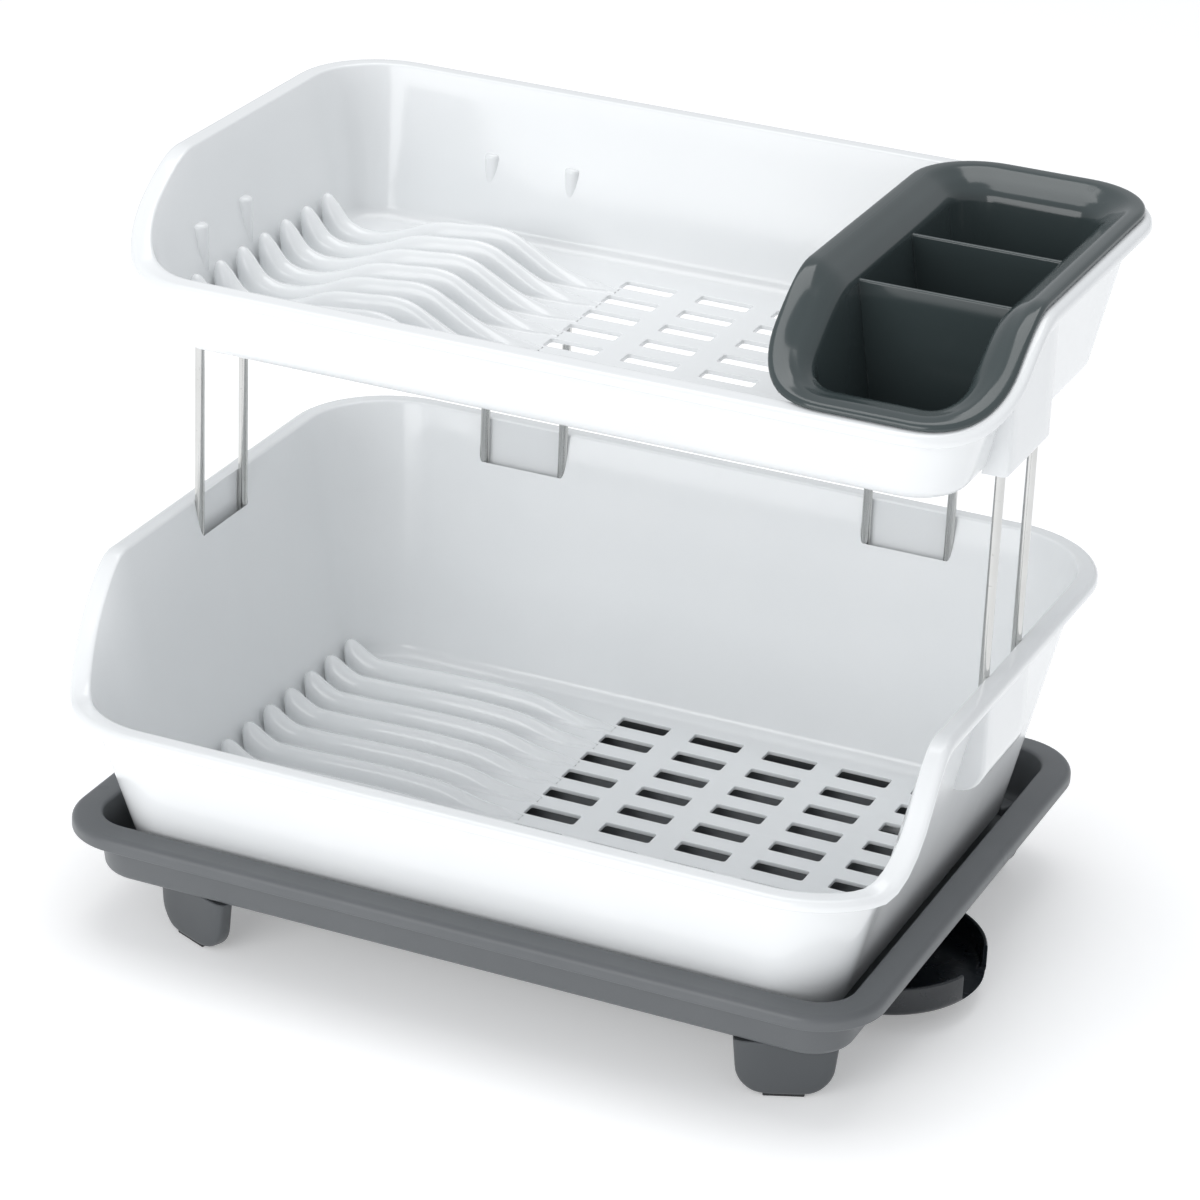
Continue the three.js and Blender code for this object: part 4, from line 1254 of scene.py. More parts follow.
    def rib(self, y: float) -> Shell:
        """One plate rib with a rounded back and a free round nose at the wall.

        Along its length the height follows a smooth curve through its knots. The nose draws in
        as a quarter ellipse and leans out with the wall. Across it the section is a
        superellipse, flared at the floor by a small cove. The tail narrows and sinks a little
        into the floor.

        Args:
            y: the rib's middle.

        Returns:
            The rib.
        """
        top = self.vessel.floor_z + self.floor
        wall_top = np.array(top + self.rib_heights[0])
        start = float(self.vessel.wall_x(-1.0, np.array(y), wall_top, -self.wall)) + 1.2 * MM
        end = self.first_column - self.slot_size[0] / 2 + 1.5 * MM
        nose = self.rib_nose / (end - start)
        s = np.concatenate([quarter_levels(nose, 9), np.linspace(nose, 1.0, 64)[1:]])
        height = eased(np.array(self.rib_places), np.array(self.rib_heights), s)
        draw = quarter_rise(s / nose)
        height = height * (0.55 + 0.45 * draw)
        tail = smoothstep((1.0 - s) / 0.10)
        slim = 1.0 - 0.16 * smoothstep((s - nose) / 0.10)
        half = self.rib_width / 2 * (0.08 + 0.92 * draw) * (0.55 + 0.45 * tail) * slim
        angle = np.linspace(0.0, math.pi, 19)[None, :]
        power = 2.0 / self.rib_power
        across = half[:, None] * signed_power(np.cos(angle), power)
        rise = np.maximum(height[:, None], 0.0) * np.abs(np.sin(angle)) ** power
        skirt = self.rib_cove * np.array([1.0, 0.45])
        left = np.stack([np.broadcast_to(-half[:, None], (len(s), 2)) - skirt[::-1],
                         np.broadcast_to([0.35 * MM, -0.25 * MM], (len(s), 2))], axis=2)
        right = left[:, ::-1] * [-1.0, 1.0]
        body = np.stack([across, rise + 0.9 * MM * np.abs(np.cos(angle)) ** 8], axis=2)
        section = np.concatenate([right, body, left], axis=1)
        sink = 0.5 * MM * (1.0 - smoothstep((1.0 - s) / 0.04))
        section[..., 1] -= sink[:, None]
        along = start + (end - start) * s
        lean = math.tan(math.radians(self.vessel.draft)) * (1.0 - smoothstep((s - nose) / 0.12))
        drop = self.rib_heights[0] - section[..., 1]
        x = along[:, None] + lean[:, None] * drop
        grid = np.stack([x, y + section[..., 0], top + section[..., 1]], axis=2)
        return Shell().add_grid(grid, cap_ends=True)

    def ribs(self) -> bpy.types.Mesh:
        """All plate ribs, one between each two rows of slots."""
        surface = Shell()
        for y in self.rows()[:-1] - self.row_pitch / 2:
            surface.join(self.rib(float(y)))
        return surface.to_mesh(f"{self.name}_plate_ribs", RIB_CREASE)

    def housing(self, wire: WireLeg, low: float, high: float, toe: float) -> Shell:
        """The block outside the wall that a wire leg stands in.

        At each height its section runs out of the wall, round a corner, along the flat face,
        round the other corner and back into the wall. Its face draws in towards the bottom.

        Args:
            wire: the wire leg.
            low: bottom of the block.
            high: its top.
            toe: height over which the face draws in.

        Returns:
            The housing.
        """
        half = wire.spacing / 2 + wire.diameter / 2 + self.housing_margin
        levels = np.concatenate([low + quarter_levels(toe, 8), np.linspace(low + toe, high, 9)[1:]])
        pull = 1.0 - quarter_rise((levels - low) / toe)
        radius = self.housing_corner
        corner = arc((0.0, 0.0), radius, -90.0, 0.0, 4)
        middle = np.linspace(-1.0, 1.0, 7)[1:-1]
        along = np.concatenate([[-half], -half + radius + corner[:, 1], (half - radius) * middle,
                                half - radius - corner[::-1, 1], [half]])
        inset = np.concatenate([[np.inf], radius - corner[:, 0], 0 * middle,
                                radius - corner[::-1, 0], [np.inf]])
        if wire.facing is Facing.BACK:
            root = np.broadcast_to(self.vessel.back_y(levels, -self.wall / 2)[:, None] - wire.y,
                                   (len(levels), len(along)))
        else:
            side = 1.0 if wire.facing is Facing.RIGHT else -1.0
            places = wire.y + along[None, :] * wire.along[1] + 0 * levels[:, None]
            root = side * (self.vessel.wall_x(side, places, levels[:, None], -self.wall / 2) - wire.x)
        depth = np.maximum(HOUSING_FACE - inset[None, :] - pull[:, None] * (toe * 0.75), root)
        base = wire.place + levels[:, None, None] * UP
        face = base + along[None, :, None] * wire.along + depth[..., None] * wire.out
        back = base + along[None, ::-1, None] * wire.along + root[:, ::-1, None] * wire.out
        return Shell().add_grid(np.concatenate([face, back[:, 1:-1]], axis=1), cap_ends=True)


@dataclass
class LowerBasket(Basket):
    """The deep basket, with a pocket for each bent wire in its side and back walls.

    Attributes:
        pocket_floor: height of the pockets' floor.
        pocket_width: width of a pocket.
        pocket_corner: radius of a pocket's corners.
        housing_low: bottom of the wire housings.
        housing_drop: from the back rim down to their top.
        housing_toe: height over which their face draws in.
        stand_size: length and width of a stand under the floor.
        stand_low: bottom of the stands.
    """

    pocket_floor: float = 132 * MM
    pocket_width: float = 5.1 * MM
    pocket_corner: float = 2.3 * MM
    housing_low: float = 118 * MM
    housing_drop: float = 1.2 * MM
    housing_toe: float = 14 * MM
    stand_size: tuple[float, float] = (26 * MM, 5 * MM)
    stand_low: float = 32.7 * MM

    def pockets(self) -> Shell:
        """The upright slots that the bent wires stand in, one rounded block for each wire."""
        knife = Shell()
        for wire in WIRES:
            width, height = self.pocket_width, self.vessel.rim_back + 4 * MM - self.pocket_floor
            centre = (wire.x, wire.y, self.pocket_floor + height / 2)
            knife.join(block((wire.spacing + width, width, height), centre,
                             wire.facing.value + 90.0, self.pocket_corner))
        return knife

    def outside(self) -> Shell:
        """What stands out of the shell: the four housings and the four stands under the floor."""
        surface = Shell()
        top = self.vessel.rim_back - self.housing_drop
        for wire in WIRES:
            surface.join(self.housing(wire, self.housing_low, top, self.housing_toe))
        length, width = self.stand_size
        low, high = self.stand_low, self.vessel.floor_z + self.floor / 2
        x = self.vessel.foot[1] - self.vessel.foot_corner - length / 2
        for y in self.rows()[[1, -2]] - (self.row_pitch - width) / 2:
            for side in (-x, x):
                surface.join(block((length, width, high - low), (side, float(y), (high + low) / 2),
                                   0.0, 0.8 * MM, 3))
        return surface

    def build(self, finishes: Finishes) -> None:
        """Builds the basket and its wires and dresses them."""
        mesh = carved(fused(self.shell(), self.outside().to_mesh("outside")), self.pockets())
        finishes.dress(mesh, Slot.BASKET, self.body, self.name)
        finishes.dress(self.ribs(), Slot.BASKET, self.body)
        for wire in WIRES:
            finishes.dress(wire.mesh(), Slot.CHROME, self.body, f"wire_leg_{wire.name}")


@dataclass
class UpperBasket(Basket):
    """The shallow basket, with blind bores for the wires' ends.

    Attributes:
        bore_radius: radius of the bores.
        bore_top: height of their closed end.
        boss_radius: radius of the bosses inside the wall.
        boss_cap: from the bores' closed end to the bosses' tops.
        boss_round: radius of the bosses' domed edge.
        housing_height: height of the wire housings.
        housing_toe: height over which their face draws in.
    """

    bore_radius: float = 2.8 * MM
    bore_top: float = 324 * MM
    boss_radius: float = 4.4 * MM
    boss_cap: float = 4 * MM
    boss_round: float = 2 * MM
    housing_height: float = 58.4 * MM
    housing_toe: float = 2 * MM

    def bores(self) -> Shell:
        """The blind bores that the prongs plug into."""
        knife = Shell()
        low = self.vessel.floor_z - 4 * MM
        for wire in WIRES:
            for place in wire.prongs():
                knife.join(upright_rod(self.bore_radius, low, self.bore_top, place, 20))
        return knife

    def bosses(self) -> Shell:
        """The round bosses inside the wall that cap the bores: cylinders with domed tops."""
        surface = Shell()
        radius, top, edge = self.boss_radius, self.bore_top + self.boss_cap, self.boss_round
        low = self.vessel.floor_z + self.floor / 2
        dome = arc((radius - edge, top - edge), edge, 0.0, 90.0, 5)
        profile = np.concatenate([[[0.0, low], [radius, low]], dome, [[0.0, top]]])
        for wire in WIRES:
            for place in wire.prongs():
                surface.join(lathe(profile, place, 24))
        return surface

    def build(self, finishes: Finishes) -> None:
        """Builds the basket and dresses it."""
        knife = self.bores()
        parts = [carved(self.shell(), knife), carved(self.bosses().to_mesh("bosses"), knife)]
        low = self.vessel.floor_z
        for wire in WIRES:
            outer = self.housing(wire, low, low + self.housing_height, self.housing_toe)
            parts.append(carved(outer.to_mesh(f"housing_{wire.name}"), knife))
        finishes.dress(joined("upper_basket_shell", parts), Slot.BASKET, self.body, self.name)
        finishes.dress(self.ribs(), Slot.BASKET, self.body)


# ------------------------------------------------------------------ cutlery holder


@dataclass
class CutleryHolder:
    """The dark holder with three cells that hangs by its flange in the upper basket.

    Attributes:
        vessel: its outline.
        wall: wall thickness.
        floor: floor thickness.
        fillet: radius between wall and floor.
        seat: gap between its flange and the basket's rim.
        thick: thickness of the flange.
        dip: how far the flange falls towards the mouth.
        level: width of the flange's level outer part.
        divider: thickness of a divider.
        divider_drop: from the flange's top down to a divider's top.
        cells: number of cells.
    """

    vessel: Vessel
    wall: float = 2.2 * MM
    floor: float = 2.2 * MM
    fillet: float = 5 * MM
    seat: float = 0.5 * MM
    thick: float = 3.4 * MM
    dip: float = 6 * MM
    level: float = 7 * MM
    divider: float = 2.4 * MM
    divider_drop: float = 12 * MM
    cells: int = 3

    def section(self) -> Profile:
        """The wall's section: fillet, inner face, sloped flange with a rolled edge, outer face."""
        wall, lip, floor, fillet = self.wall, self.vessel.lip, self.floor, self.fillet
        top = self.seat + self.thick
        bend = lip - self.level
        roll, small = 2.2 * MM, 0.8 * MM
        knots = np.array([-wall, 0.12 * lip, 0.35 * lip, bend, lip - 3.2 * MM])
        rises = np.array([top - self.dip - 3.4 * MM, top - self.dip + 0.6 * MM, top - 2.9 * MM,
                          top - 0.5 * MM, top])
        across = np.linspace(knots[0], knots[-1], 15)
        slope = np.stack([across, eased(knots, rises, across)], axis=1)
        under_out = np.linspace(lip - 2 * MM, 0.0, 10)
        under_z = self.seat - self.dip * smoothstep((bend - under_out) / bend)
        under = np.stack([under_out, under_z], axis=1)
        profile = Profile()
        profile.at(0, arc((-wall - fillet, floor + fillet), fillet, -90.0, 0.0, 6))
        mouth = slope[0, 1]
        profile.wall(-wall, floor + fillet, mouth - 5 * MM, 7)
        profile.at(1, [(-wall, mouth - 5 * MM), (-wall, mouth - 2.2 * MM)])
        profile.at(1, slope, plumb=True)
        profile.at(1, arc((lip - roll, top - roll), roll, 80.0, 0.0, 5), plumb=True)
        profile.at(1, arc((lip - small, self.seat + small), small, 0.0, -90.0, 3), plumb=True)
        profile.at(1, under, plumb=True)
        profile.wall(0.0, fillet, self.seat - self.dip - 3 * MM, 7, down=True)
        profile.at(0, arc((-fillet, fillet), fillet, 0.0, -90.0, 6))
        return profile

    def partition(self, y: float) -> Shell:
        """One divider: a thin upright slab, rounded along its top, that runs into both walls.

        Its loop in Y and Z is carried from the left wall's inner face to the right one's at
        each loop point's own height.

        Args:
            y: its middle.

        Returns:
            The divider.
        """
        vessel, half = self.vessel, self.divider / 2
        top = float(vessel.rim_z(np.array(y))) + self.seat + self.thick - self.divider_drop
        low = vessel.floor_z + self.floor / 2
        rise = np.linspace(low, top - half, 10)
        crown = arc((0.0, top - half), half, 0.0, 180.0, 8)
        side = np.concatenate([np.full(len(rise), half), crown[:, 0], np.full(len(rise), -half)])
        z = np.concatenate([rise, crown[:, 1], rise[::-1]])
        inset = -self.wall + 0.6 * MM
        left = vessel.wall_x(-1.0, np.full_like(z, y), z, inset)
        right = vessel.wall_x(1.0, np.full_like(z, y), z, inset)
        t = np.linspace(0.0, 1.0, 9)[:, None]
        x = left[None, :] * (1 - t) + right[None, :] * t
        grid = np.stack([x, y + side[None, :] + 0 * x, z[None, :] + 0 * x], axis=2)
        return Shell().add_grid(grid, cap_ends=True)

    def build(self, finishes: Finishes) -> None:
        """Builds the holder and dresses it."""
        grid = self.section().sweep(self.vessel)
        surface = Shell().add_grid(grid).add_plate([grid[0]]).add_plate([grid[-1]])
        lip = self.vessel.lip
        places = np.linspace(self.vessel.y0 + lip, self.vessel.y1 - lip, self.cells + 1)[1:-1]
        slabs = Shell()
        for y in places:
            slabs.join(self.partition(float(y)))
        mesh = joined("cutlery_holder_tub", [surface.to_mesh("tub"), slabs.to_mesh("dividers")])
        finishes.dress(mesh, Slot.HOLDER, Body.HOLDER, "cutlery_holder")


# ------------------------------------------------------------------ drip tray


@dataclass
class Foot:
    """A tongue-shaped foot under one corner of the tray, with its soft pad.

    Attributes:
        name: which corner it stands under.
        x: its middle.
        y: the same, along Y.
        turn: its turn in degrees.
        top: height of its top.
        bottom: height of its bottom.
        width: its width at the top.
        depth: its depth.
        taper: how much each side draws in from top to bottom.
        round: radius of its bottom corners.
        edge: radius of its bottom edge.
        power: power of the superellipse round it.
        tab: length, width and height of the tab that plugs into the tray.
        pad: length, width and height of the soft pad.
        recess: length, width and height of the hollow cut for the pad, about height 0.
    """

    name: str
    x: float
    y: float
    turn: float
    top: float = 29.7 * MM
    bottom: float = 1.2 * MM
    width: float = 51 * MM
    depth: float = 11 * MM
    taper: float = 3 * MM
    round: float = 13 * MM
    edge: float = 2.4 * MM
    power: float = 4.2
    tab: tuple[float, float, float] = (32 * MM, 6 * MM, 6.8 * MM)
    pad: tuple[float, float, float] = (20 * MM, 8 * MM, 2.2 * MM)
    recess: tuple[float, float, float] = (20.6 * MM, 8.6 * MM, 5.0 * MM)

    def placed(self, x: Array, y: Array, z: Array) -> Array:
        """Turns local X and Y about the foot's middle and sets them in place."""
        c, s = math.cos(math.radians(self.turn)), math.sin(math.radians(self.turn))
        return np.stack([self.x + c * x - s * y, self.y + s * x + c * y, z + 0 * x], axis=-1)

    def tongue(self) -> Shell:
        """The tongue: a superellipse whose half width tapers and then follows a quarter circle.

        Returns:
            The closed tongue.
        """
        height = self.top - self.bottom
        lift = np.concatenate([quarter_levels(self.round, 14),
                               np.linspace(self.round, height - 0.5 * MM, 8)[1:], [height]])
        half = self.width / 2 - self.taper * (1 - lift / height)
        half = half - self.round * (1 - quarter_rise(lift / self.round))
        deep = self.depth / 2 - self.edge * (1 - quarter_rise(lift / self.edge))
        half[-1] -= 0.4 * MM
        deep[-1] -= 0.4 * MM
        angle = np.linspace(0.0, 2 * math.pi, 48, endpoint=False)[None, :]
        power = 2.0 / self.power
        x = half[:, None] * signed_power(np.cos(angle), power)
        y = deep[:, None] * signed_power(np.sin(angle), power)
        grid = self.placed(x, y, self.bottom + lift[:, None])
        return Shell().add_grid(grid, cap_ends=True)

    def build(self, finishes: Finishes) -> None:
        """Builds the foot and its pad and dresses them."""
        tab = block(self.tab, (self.x, self.y, 32.1 * MM), self.turn, 0.8 * MM, 2)
        shape = self.tongue().join(tab)
        recess = block(self.recess, (self.x, self.y, 0.0), self.turn, 2.0 * MM)
        foot = carved(shape.to_mesh(f"tray_tongue_{self.name}"), recess)
        # The foot takes the darker copy of the tray grey: painted shade under the tray.
        finishes.dress(foot, Slot.TRAY, Body.BASE, f"tray_foot_{self.name}", recipe=SHADED_FOOT_GREY.name)
        pad = block(self.pad, (self.x, self.y, self.pad[2] / 2), self.turn, 0.55 * MM)
        finishes.dress(pad.to_mesh(f"soft_pad_{self.name}"), Slot.RUBBER, Body.BASE,
                       f"foot_pad_{self.name}")


@dataclass
class DripTray:
    """The grey tray with its broad flange, its outlet and its four feet.

    Attributes:
        vessel: its outline.
        wall: wall thickness.
        floor: floor thickness.
        drop: how far the flange's edge hangs below the rim.
        dome: length, width and height of the cap over each foot's tab.
        socket: length, width and height of the hollow that takes the tab.
        feet: its feet.
    """

    vessel: Vessel
    wall: float = 2.4 * MM
    floor: float = 2.4 * MM
    drop: float = 8 * MM
    dome: tuple[float, float, float] = (37 * MM, 11 * MM, 6.0 * MM)
    socket: tuple[float, float, float] = (32.8 * MM, 6.8 * MM, 12 * MM)
    feet: tuple[Foot, ...] = (
        Foot("front_left", -147 * MM, -139 * MM, -24.0),
        Foot("front_right", 170 * MM, -139 * MM, 24.0),
        Foot("rear_left", -147 * MM, 132 * MM, 24.0),
        Foot("rear_right", 170 * MM, 132 * MM, -24.0),
    )

    def section(self) -> Profile:
        """The wall's section: fillet, inner face, broad flange with a rolled edge, outer face."""
        wall, lip, drop, floor = self.wall, self.vessel.lip, self.drop, self.floor
        fillet, roll, edge, under, small = 4 * MM, 3.6 * MM, 1.8 * MM, 1.5 * MM, 0.7 * MM
        profile = Profile()
        profile.at(0, arc((-wall - fillet, floor + fillet), fillet, -90.0, 0.0, 6))
        profile.wall(-wall, floor + fillet, -edge, 3)
        profile.at(1, arc((-wall + edge, -edge), edge, 180.0, 90.0, 4))
        profile.at(1, [(under, 0.0), (lip * 0.5, -0.25 * MM)], plumb=True)
        profile.at(1, arc((lip - roll, -roll - 0.5 * MM), roll, 90.0, 0.0, 7), plumb=True)
        profile.at(1, arc((lip - small, -drop + small), small, 0.0, -90.0, 3), plumb=True)
        profile.at(1, arc((lip - wall + small, -drop + small), small, -90.0, -180.0, 3), plumb=True)
        profile.at(1, arc((lip - wall - under, -wall - 2 * MM), under, 0.0, 90.0, 3), plumb=True)
        profile.at(1, arc((under, -wall - under), under, 90.0, 180.0, 3), plumb=True)
        profile.wall(0.0, fillet, -wall - 3.4 * MM, 3, down=True)
        profile.at(0, arc((-fillet, fillet), fillet, 0.0, -90.0, 6))
        return profile

    def build(self, finishes: Finishes) -> None:
        """Builds the tray, its domes over the feet and the feet."""
        grid = self.section().sweep(self.vessel)
        low, high = self.vessel.floor_z, self.vessel.floor_z + self.floor
        bore = 2 * HUB_SOCKET
        wall, top, bottom = hole_through(SPOUT_PIVOT, (bore, bore), HUB_SOCKET * 0.999, low, high,
                                         0.4 * MM)
        surface = Shell().add_grid(grid).add_grid(wall)
        surface.add_plate([grid[0], top]).add_plate([grid[-1], bottom])
        domes, sockets = Shell(), Shell()
        for foot in self.feet:
            domes.join(block(self.dome, (foot.x, foot.y, 34 * MM), foot.turn, 1.6 * MM))
            sockets.join(block(self.socket, (foot.x, foot.y, 30 * MM), foot.turn, 0.8 * MM, 2))
        mesh = joined("drip_tray_pan", [carved(surface.to_mesh("pan"), sockets),
                                        carved(domes.to_mesh("domes"), sockets)])
        finishes.dress(mesh, Slot.TRAY, Body.BASE, "drip_tray")
        for foot in self.feet:
            foot.build(finishes)


# ------------------------------------------------------------------ drain spout


@dataclass
class DrainSpout:
    """The black swivel spout under the tray: an open round dish with a pouring mouth.

    Attributes:
        reach: from the pivot to the middle of the dish.
        radius: radius of the dish.
        low: bottom of the dish.
        high: its rim.
        wall: its thickness.
        mouth: width of the pouring mouth.
        hub: radius of the hollow hub.
        bore: radius of its bore.
        hub_top: height of its top.
        seat: radius of the seat under the seal.
        nut_radius: radius of the ring nut.
        nut_low: bottom of the nut.
        notch: depth of the nut's finger notches.
        seal_radius: radius of the seal.
        seal_low: bottom of the seal.
        seal_high: top of the seal.
    """

    reach: float = 34 * MM
    radius: float = 52 * MM
    low: float = 11 * MM
    high: float = 27 * MM
    wall: float = 2 * MM
    mouth: float = 34 * MM
    hub: float = 12.5 * MM
    bore: float = 9.5 * MM
    hub_top: float = 36.3 * MM
    seat: float = 19.3 * MM
    nut_radius: float = 20 * MM
    nut_low: float = 32.7 * MM
    notch: float = 2.2 * MM
    seal_radius: float = 19 * MM
    seal_low: float = 27.3 * MM
    seal_high: float = 29.7 * MM

    @property
    def middle(self) -> tuple[float, float]:
        """The middle of the dish, in X and Y."""
        return SPOUT_PIVOT[0] + self.reach, SPOUT_PIVOT[1]

    def dish(self) -> Shell:
        """The dish: a thin-walled cup with rounded edges, turned about its own middle."""
        low, rim = self.low, self.wall / 2
        outer_round, inner_round, flat = 4 * MM, 3 * MM, 30 * MM
        inner, upper = self.radius - self.wall, low + self.wall
        profile = np.concatenate([
            [[0.0, low], [flat, low]],
            arc((self.radius - outer_round, low + outer_round), outer_round, -90.0, 0.0, 6),
            arc((self.radius - rim, self.high - rim), rim, 0.0, 180.0, 6),
            arc((inner - inner_round, upper + inner_round), inner_round, 0.0, -90.0, 6),
            [[flat, upper], [0.0, upper]]])
        return lathe(profile, self.middle, 96)

    def hub_shell(self) -> Shell:
        """The hollow hub with its seat for the seal, turned about the pivot."""
        edge, bore, seat, hub = 0.5 * MM, self.bore, self.seat, self.hub
        low, high, top = self.high - self.wall, self.high, self.hub_top
        profile = np.array([
            [bore, low + edge], [bore + edge, low], [seat - edge, low], [seat, low + edge],
            [seat, high - edge], [seat - edge, high], [hub + 1 * MM, high], [hub, high + edge],
            [hub, top - edge], [hub - edge, top], [bore + edge, top], [bore, top - edge]])
        return lathe(profile, SPOUT_PIVOT, 64)

    def bridge(self) -> Shell:
        """The bar across the dish that carries the hub, its ends in the dish's wall."""
        length = 2 * math.sqrt(self.radius**2 - self.reach**2) - 0.6 * self.wall
        return block((self.bore, length, self.wall), (*SPOUT_PIVOT, self.high - self.wall / 2),
                     0.0, 0.7 * MM, 3)

    def nut(self) -> Shell:
        """The ring nut: a turned ring whose outer radius dips at four finger notches.

        A notch is where the cosine of four times the angle is near 1. The dip grows from none
        at the bore to its full depth at the outer radius.
        """
        steps, near = 160, 0.86
        section = ring_section(HUB_SOCKET, self.nut_radius, self.nut_low, self.hub_top, 0.6 * MM)
        radius, height = section[:, :1], section[:, 1:]
        angle = np.linspace(0.0, 2 * math.pi, steps, endpoint=False)[None, :]
        notch = np.clip(np.cos(4 * (angle - math.pi / 4)) - near, 0.0, 1.0) / (1.0 - near)
        share = (radius - HUB_SOCKET) / (self.nut_radius - HUB_SOCKET)
        radius = radius - self.notch * smoothstep(notch) * share
        return Shell().add_grid(turned(radius, height, SPOUT_PIVOT, steps), wrap_rows=True)

    def seal(self) -> Shell:
        """The soft ring between the spout and the tray: a rounded section turned about the pivot."""
        section = ring_section(HUB_SOCKET, self.seal_radius, self.seal_low, self.seal_high, 1.0 * MM)
        return lathe(section, SPOUT_PIVOT, 64)

    def build(self, finishes: Finishes) -> None:
        """Builds the spout, its nut and its seal and dresses them."""
        x, y = self.middle
        tall = 20 * MM
        opening = block((30 * MM, self.mouth, tall),
                        (x + self.radius, y, self.low + self.wall + tall / 2), 0.0, 2.0 * MM)
        channel = upright_rod(self.bore, self.high - 2 * self.wall, self.high + self.wall,
                              SPOUT_PIVOT, 32)
        dish = carved(self.dish().to_mesh("dish"), opening)
        bridge = carved(self.bridge().to_mesh("bridge"), channel)
        mesh = joined("drain_spout_dish", [dish, bridge, self.hub_shell().to_mesh("hub")])
        finishes.dress(mesh, Slot.SPOUT, Body.SPOUT, "drain_spout")
        finishes.dress(self.nut().to_mesh("ring_nut"), Slot.SPOUT, Body.SPOUT, "spout_nut")
        finishes.dress(self.seal().to_mesh("seal_ring"), Slot.RUBBER, Body.SPOUT, "spout_seal")


# ------------------------------------------------------------------ studio


@dataclass(frozen=True)
class Softbox:
    """One soft area light that faces the rack's middle.

    Attributes:
        name: its name.
        place: where it hangs.
        size: its width and height.
        power: its power in watts.
        aim: the point it faces.
    """

    name: str
    place: tuple[float, float, float]
    size: tuple[float, float]
    power: float
    aim: tuple[float, float, float] = (0.0, 0.0, 0.15)

    def hang(self) -> None:
        """Puts the light in the scene."""
        data = bpy.data.lights.new(self.name, "AREA")
        data.shape = "RECTANGLE"
        data.size, data.size_y = self.size
        data.energy = self.power
        lamp = bpy.data.objects.new(self.name, data)
        sight = Vector(self.aim) - Vector(self.place)
        lamp.rotation_euler = sight.to_track_quat("-Z", "Y").to_euler()
        lamp.location = self.place
        bpy.context.scene.collection.objects.link(lamp)


@dataclass
class Studio:
    """A pale floor, soft lights and the camera.

    Attributes:
        azimuth: the camera's angle round the rack from straight in front, in degrees.
        elevation: its angle above the level, in degrees.
        roll: its turn about its own sight line, in degrees.
        distance: from the target to the camera.
        lens: focal length in millimetres, on a sensor 36 wide.
        target: the point it looks at.
        slide: how far camera and target are moved to the camera's right.
        sky: strength of the light from all round.
        sky_colour: its colour.
        floor_reach: half the floor's width.
        floor_tone: the floor's grey.
        floor_glow: how strongly the floor shines by itself.
        lights: the soft lights.
    """

    azimuth: float = 23.4
    elevation: float = 24.69
    roll: float = 2.41
    distance: float = 2.2376
    lens: float = 134.9
    target: tuple[float, float, float] = (0.0, -3.5 * MM, 164.4 * MM)
    slide: float = 5.62 * MM
    sky: float = 0.60
    sky_colour: Colour = (0.95, 0.97, 1.0)
    floor_reach: float = 12.0
    floor_tone: float = 0.97
    floor_glow: float = 0.26
    lights: tuple[Softbox, ...] = (
        Softbox("front_softbox", (-0.6, -2.5, 1.0), (2.0, 1.5), 25.0),
        Softbox("top_softbox", (-0.2, 0.3, 2.3), (1.8, 1.4), 17.0),
    )

    def camera(self) -> None:
        """Sets the camera on its sight line: back from the target, then rolled about it."""
        az, el, roll = (math.radians(v) for v in (self.azimuth, self.elevation, self.roll))
        right = Vector((math.cos(az), math.sin(az), 0.0))
        back = Vector((math.sin(az) * math.cos(el), -math.cos(az) * math.cos(el), math.sin(el)))
        up = back.cross(right)
        side = math.cos(roll) * right + math.sin(roll) * up
        top = -math.sin(roll) * right + math.cos(roll) * up
        place = Vector(self.target) + right * self.slide + back * self.distance
        data = bpy.data.cameras.new("studio_camera")
        data.lens = self.lens
        data.sensor_width = 36.0
        camera = bpy.data.objects.new("studio_camera", data)
        camera.matrix_world = Matrix((
            (side.x, top.x, back.x, place.x), (side.y, top.y, back.y, place.y),
            (side.z, top.z, back.z, place.z), (0.0, 0.0, 0.0, 1.0)))
        bpy.context.scene.collection.objects.link(camera)
        bpy.context.scene.camera = camera

    def floor(self) -> None:
        """A broad pale floor that shines a little by itself."""
        t = self.floor_reach * np.linspace(-1.0, 1.0, 9)
        x, y = np.meshgrid(t, t)
        surface = Shell().add_grid(np.stack([x, y, 0 * x], axis=2), wrap_columns=False)
        mesh = bpy.data.meshes.new("studio_floor")
        mesh.from_pydata(np.concatenate(surface.points), [], surface.faces)
        coating = Coating("studio_floor")
        inputs = coating.shader.inputs
        inputs["Base Color"].default_value = (self.floor_tone, self.floor_tone, self.floor_tone, 1.0)
        inputs["Roughness"].default_value = 0.75
        inputs["Specular IOR Level"].default_value = 0.2
        inputs["Emission Color"].default_value = (1.0, 1.0, 1.0, 1.0)
        inputs["Emission Strength"].default_value = self.floor_glow
        mesh.materials.append(coating.made)
        new_object(mesh)

    def build(self) -> None:
        """Builds the studio."""
        self.camera()
        self.floor()
        world = bpy.data.worlds.new("studio_world")
        world.use_nodes = True
        sky = world.node_tree.nodes["Background"]
        sky.inputs["Color"].default_value = (*self.sky_colour, 1.0)
        sky.inputs["Strength"].default_value = self.sky
        bpy.context.scene.world = world
        for light in self.lights:
            light.hang()
        bpy.context.scene.view_settings.view_transform = "Standard"


# ------------------------------------------------------------------ assembly


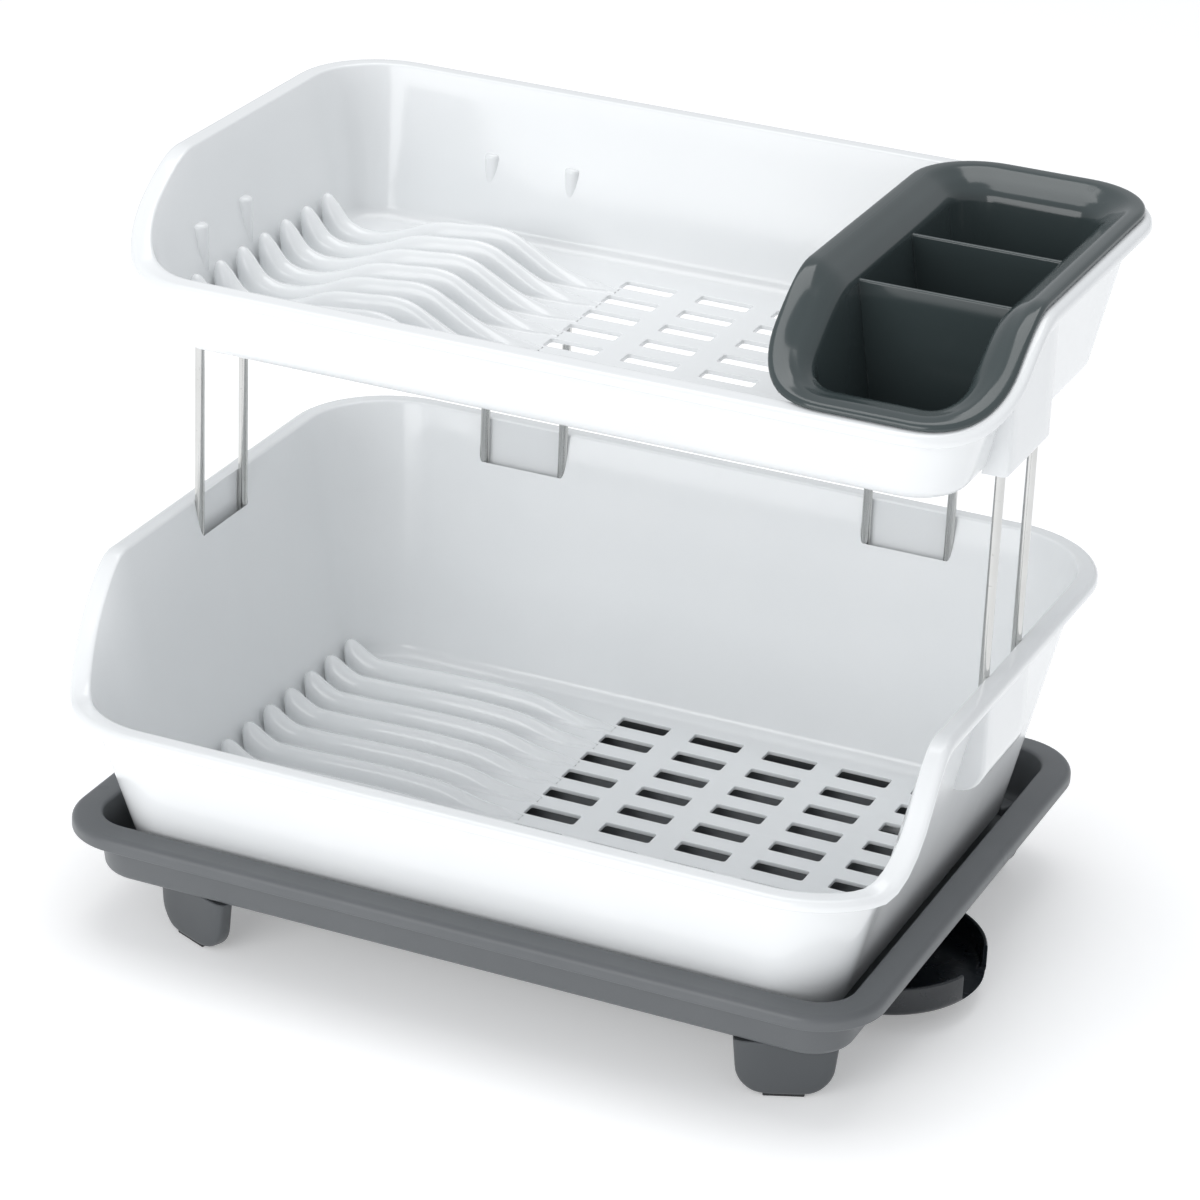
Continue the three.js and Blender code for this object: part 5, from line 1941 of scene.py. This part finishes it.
def main() -> None:
    """Builds the studio, the finishes and every sub-assembly in order."""
    Studio().build()
    finishes = Finishes().build()
    lower = LowerBasket(
        "lower_basket", Body.LOWER,
        Vessel(-225 * MM, 225 * MM, -170.5 * MM, 166.5 * MM, rim_corner=58 * MM,
               foot_corner=32 * MM, lip=8 * MM, draft=BASKET_DRAFT, floor_z=39.6 * MM,
               rim_front=120 * MM, rim_back=178 * MM, rise_start=-146.5 * MM, rise_length=57 * MM),
        first_column=-14 * MM, first_row=20.6 * MM,
        rib_places=(0.0, 0.04, 0.08, 0.12, 0.2, 0.38, 0.6, 0.75, 0.86, 1.0),
        rib_heights=tuple(h * MM for h in (18.0, 17.0, 12.5, 9.5, 9.0, 10.0, 10.5, 8.8, 4.0, 0.4)))
    upper = UpperBasket(
        "upper_basket", Body.UPPER,
        Vessel(-232 * MM, 232 * MM, -88.5 * MM, 170.5 * MM, rim_corner=48 * MM,
               foot_corner=26 * MM, lip=8 * MM, draft=BASKET_DRAFT, floor_z=283.6 * MM,
               rim_front=323 * MM, rim_back=364.6 * MM, rise_start=-86.5 * MM, rise_length=78 * MM),
        first_column=-25 * MM, first_row=31.6 * MM,
        rib_places=(0.0, 0.04, 0.08, 0.13, 0.2, 0.29, 0.38, 0.5, 0.66, 0.72, 0.8, 0.9, 1.0),
        rib_heights=tuple(h * MM for h in (25.0, 22.0, 12.0, 8.0, 7.0, 11.0, 17.5, 20.5, 20.5, 15.5,
                                           8.5, 3.0, 0.4)))
    holder = CutleryHolder(
        Vessel(107 * MM, 227 * MM, -83.5 * MM, 165.5 * MM, rim_corner=38 * MM,
               foot_corner=14 * MM, lip=18 * MM, draft=9.0, floor_z=289 * MM,
               rim_front=323 * MM, rim_back=364.6 * MM, rise_start=-86.5 * MM, rise_length=78 * MM))
    tray = DripTray(
        Vessel(-216 * MM, 216 * MM, -168 * MM, 161 * MM, rim_corner=35 * MM,
               foot_corner=22 * MM, lip=13 * MM, draft=5.0, floor_z=30 * MM,
               rim_front=61 * MM, rim_back=61 * MM, rise_start=0.0, rise_length=1.0))
    tray.build(finishes)
    DrainSpout().build(finishes)
    lower.build(finishes)
    upper.build(finishes)
    holder.build(finishes)


if __name__ == "__main__":
    main()
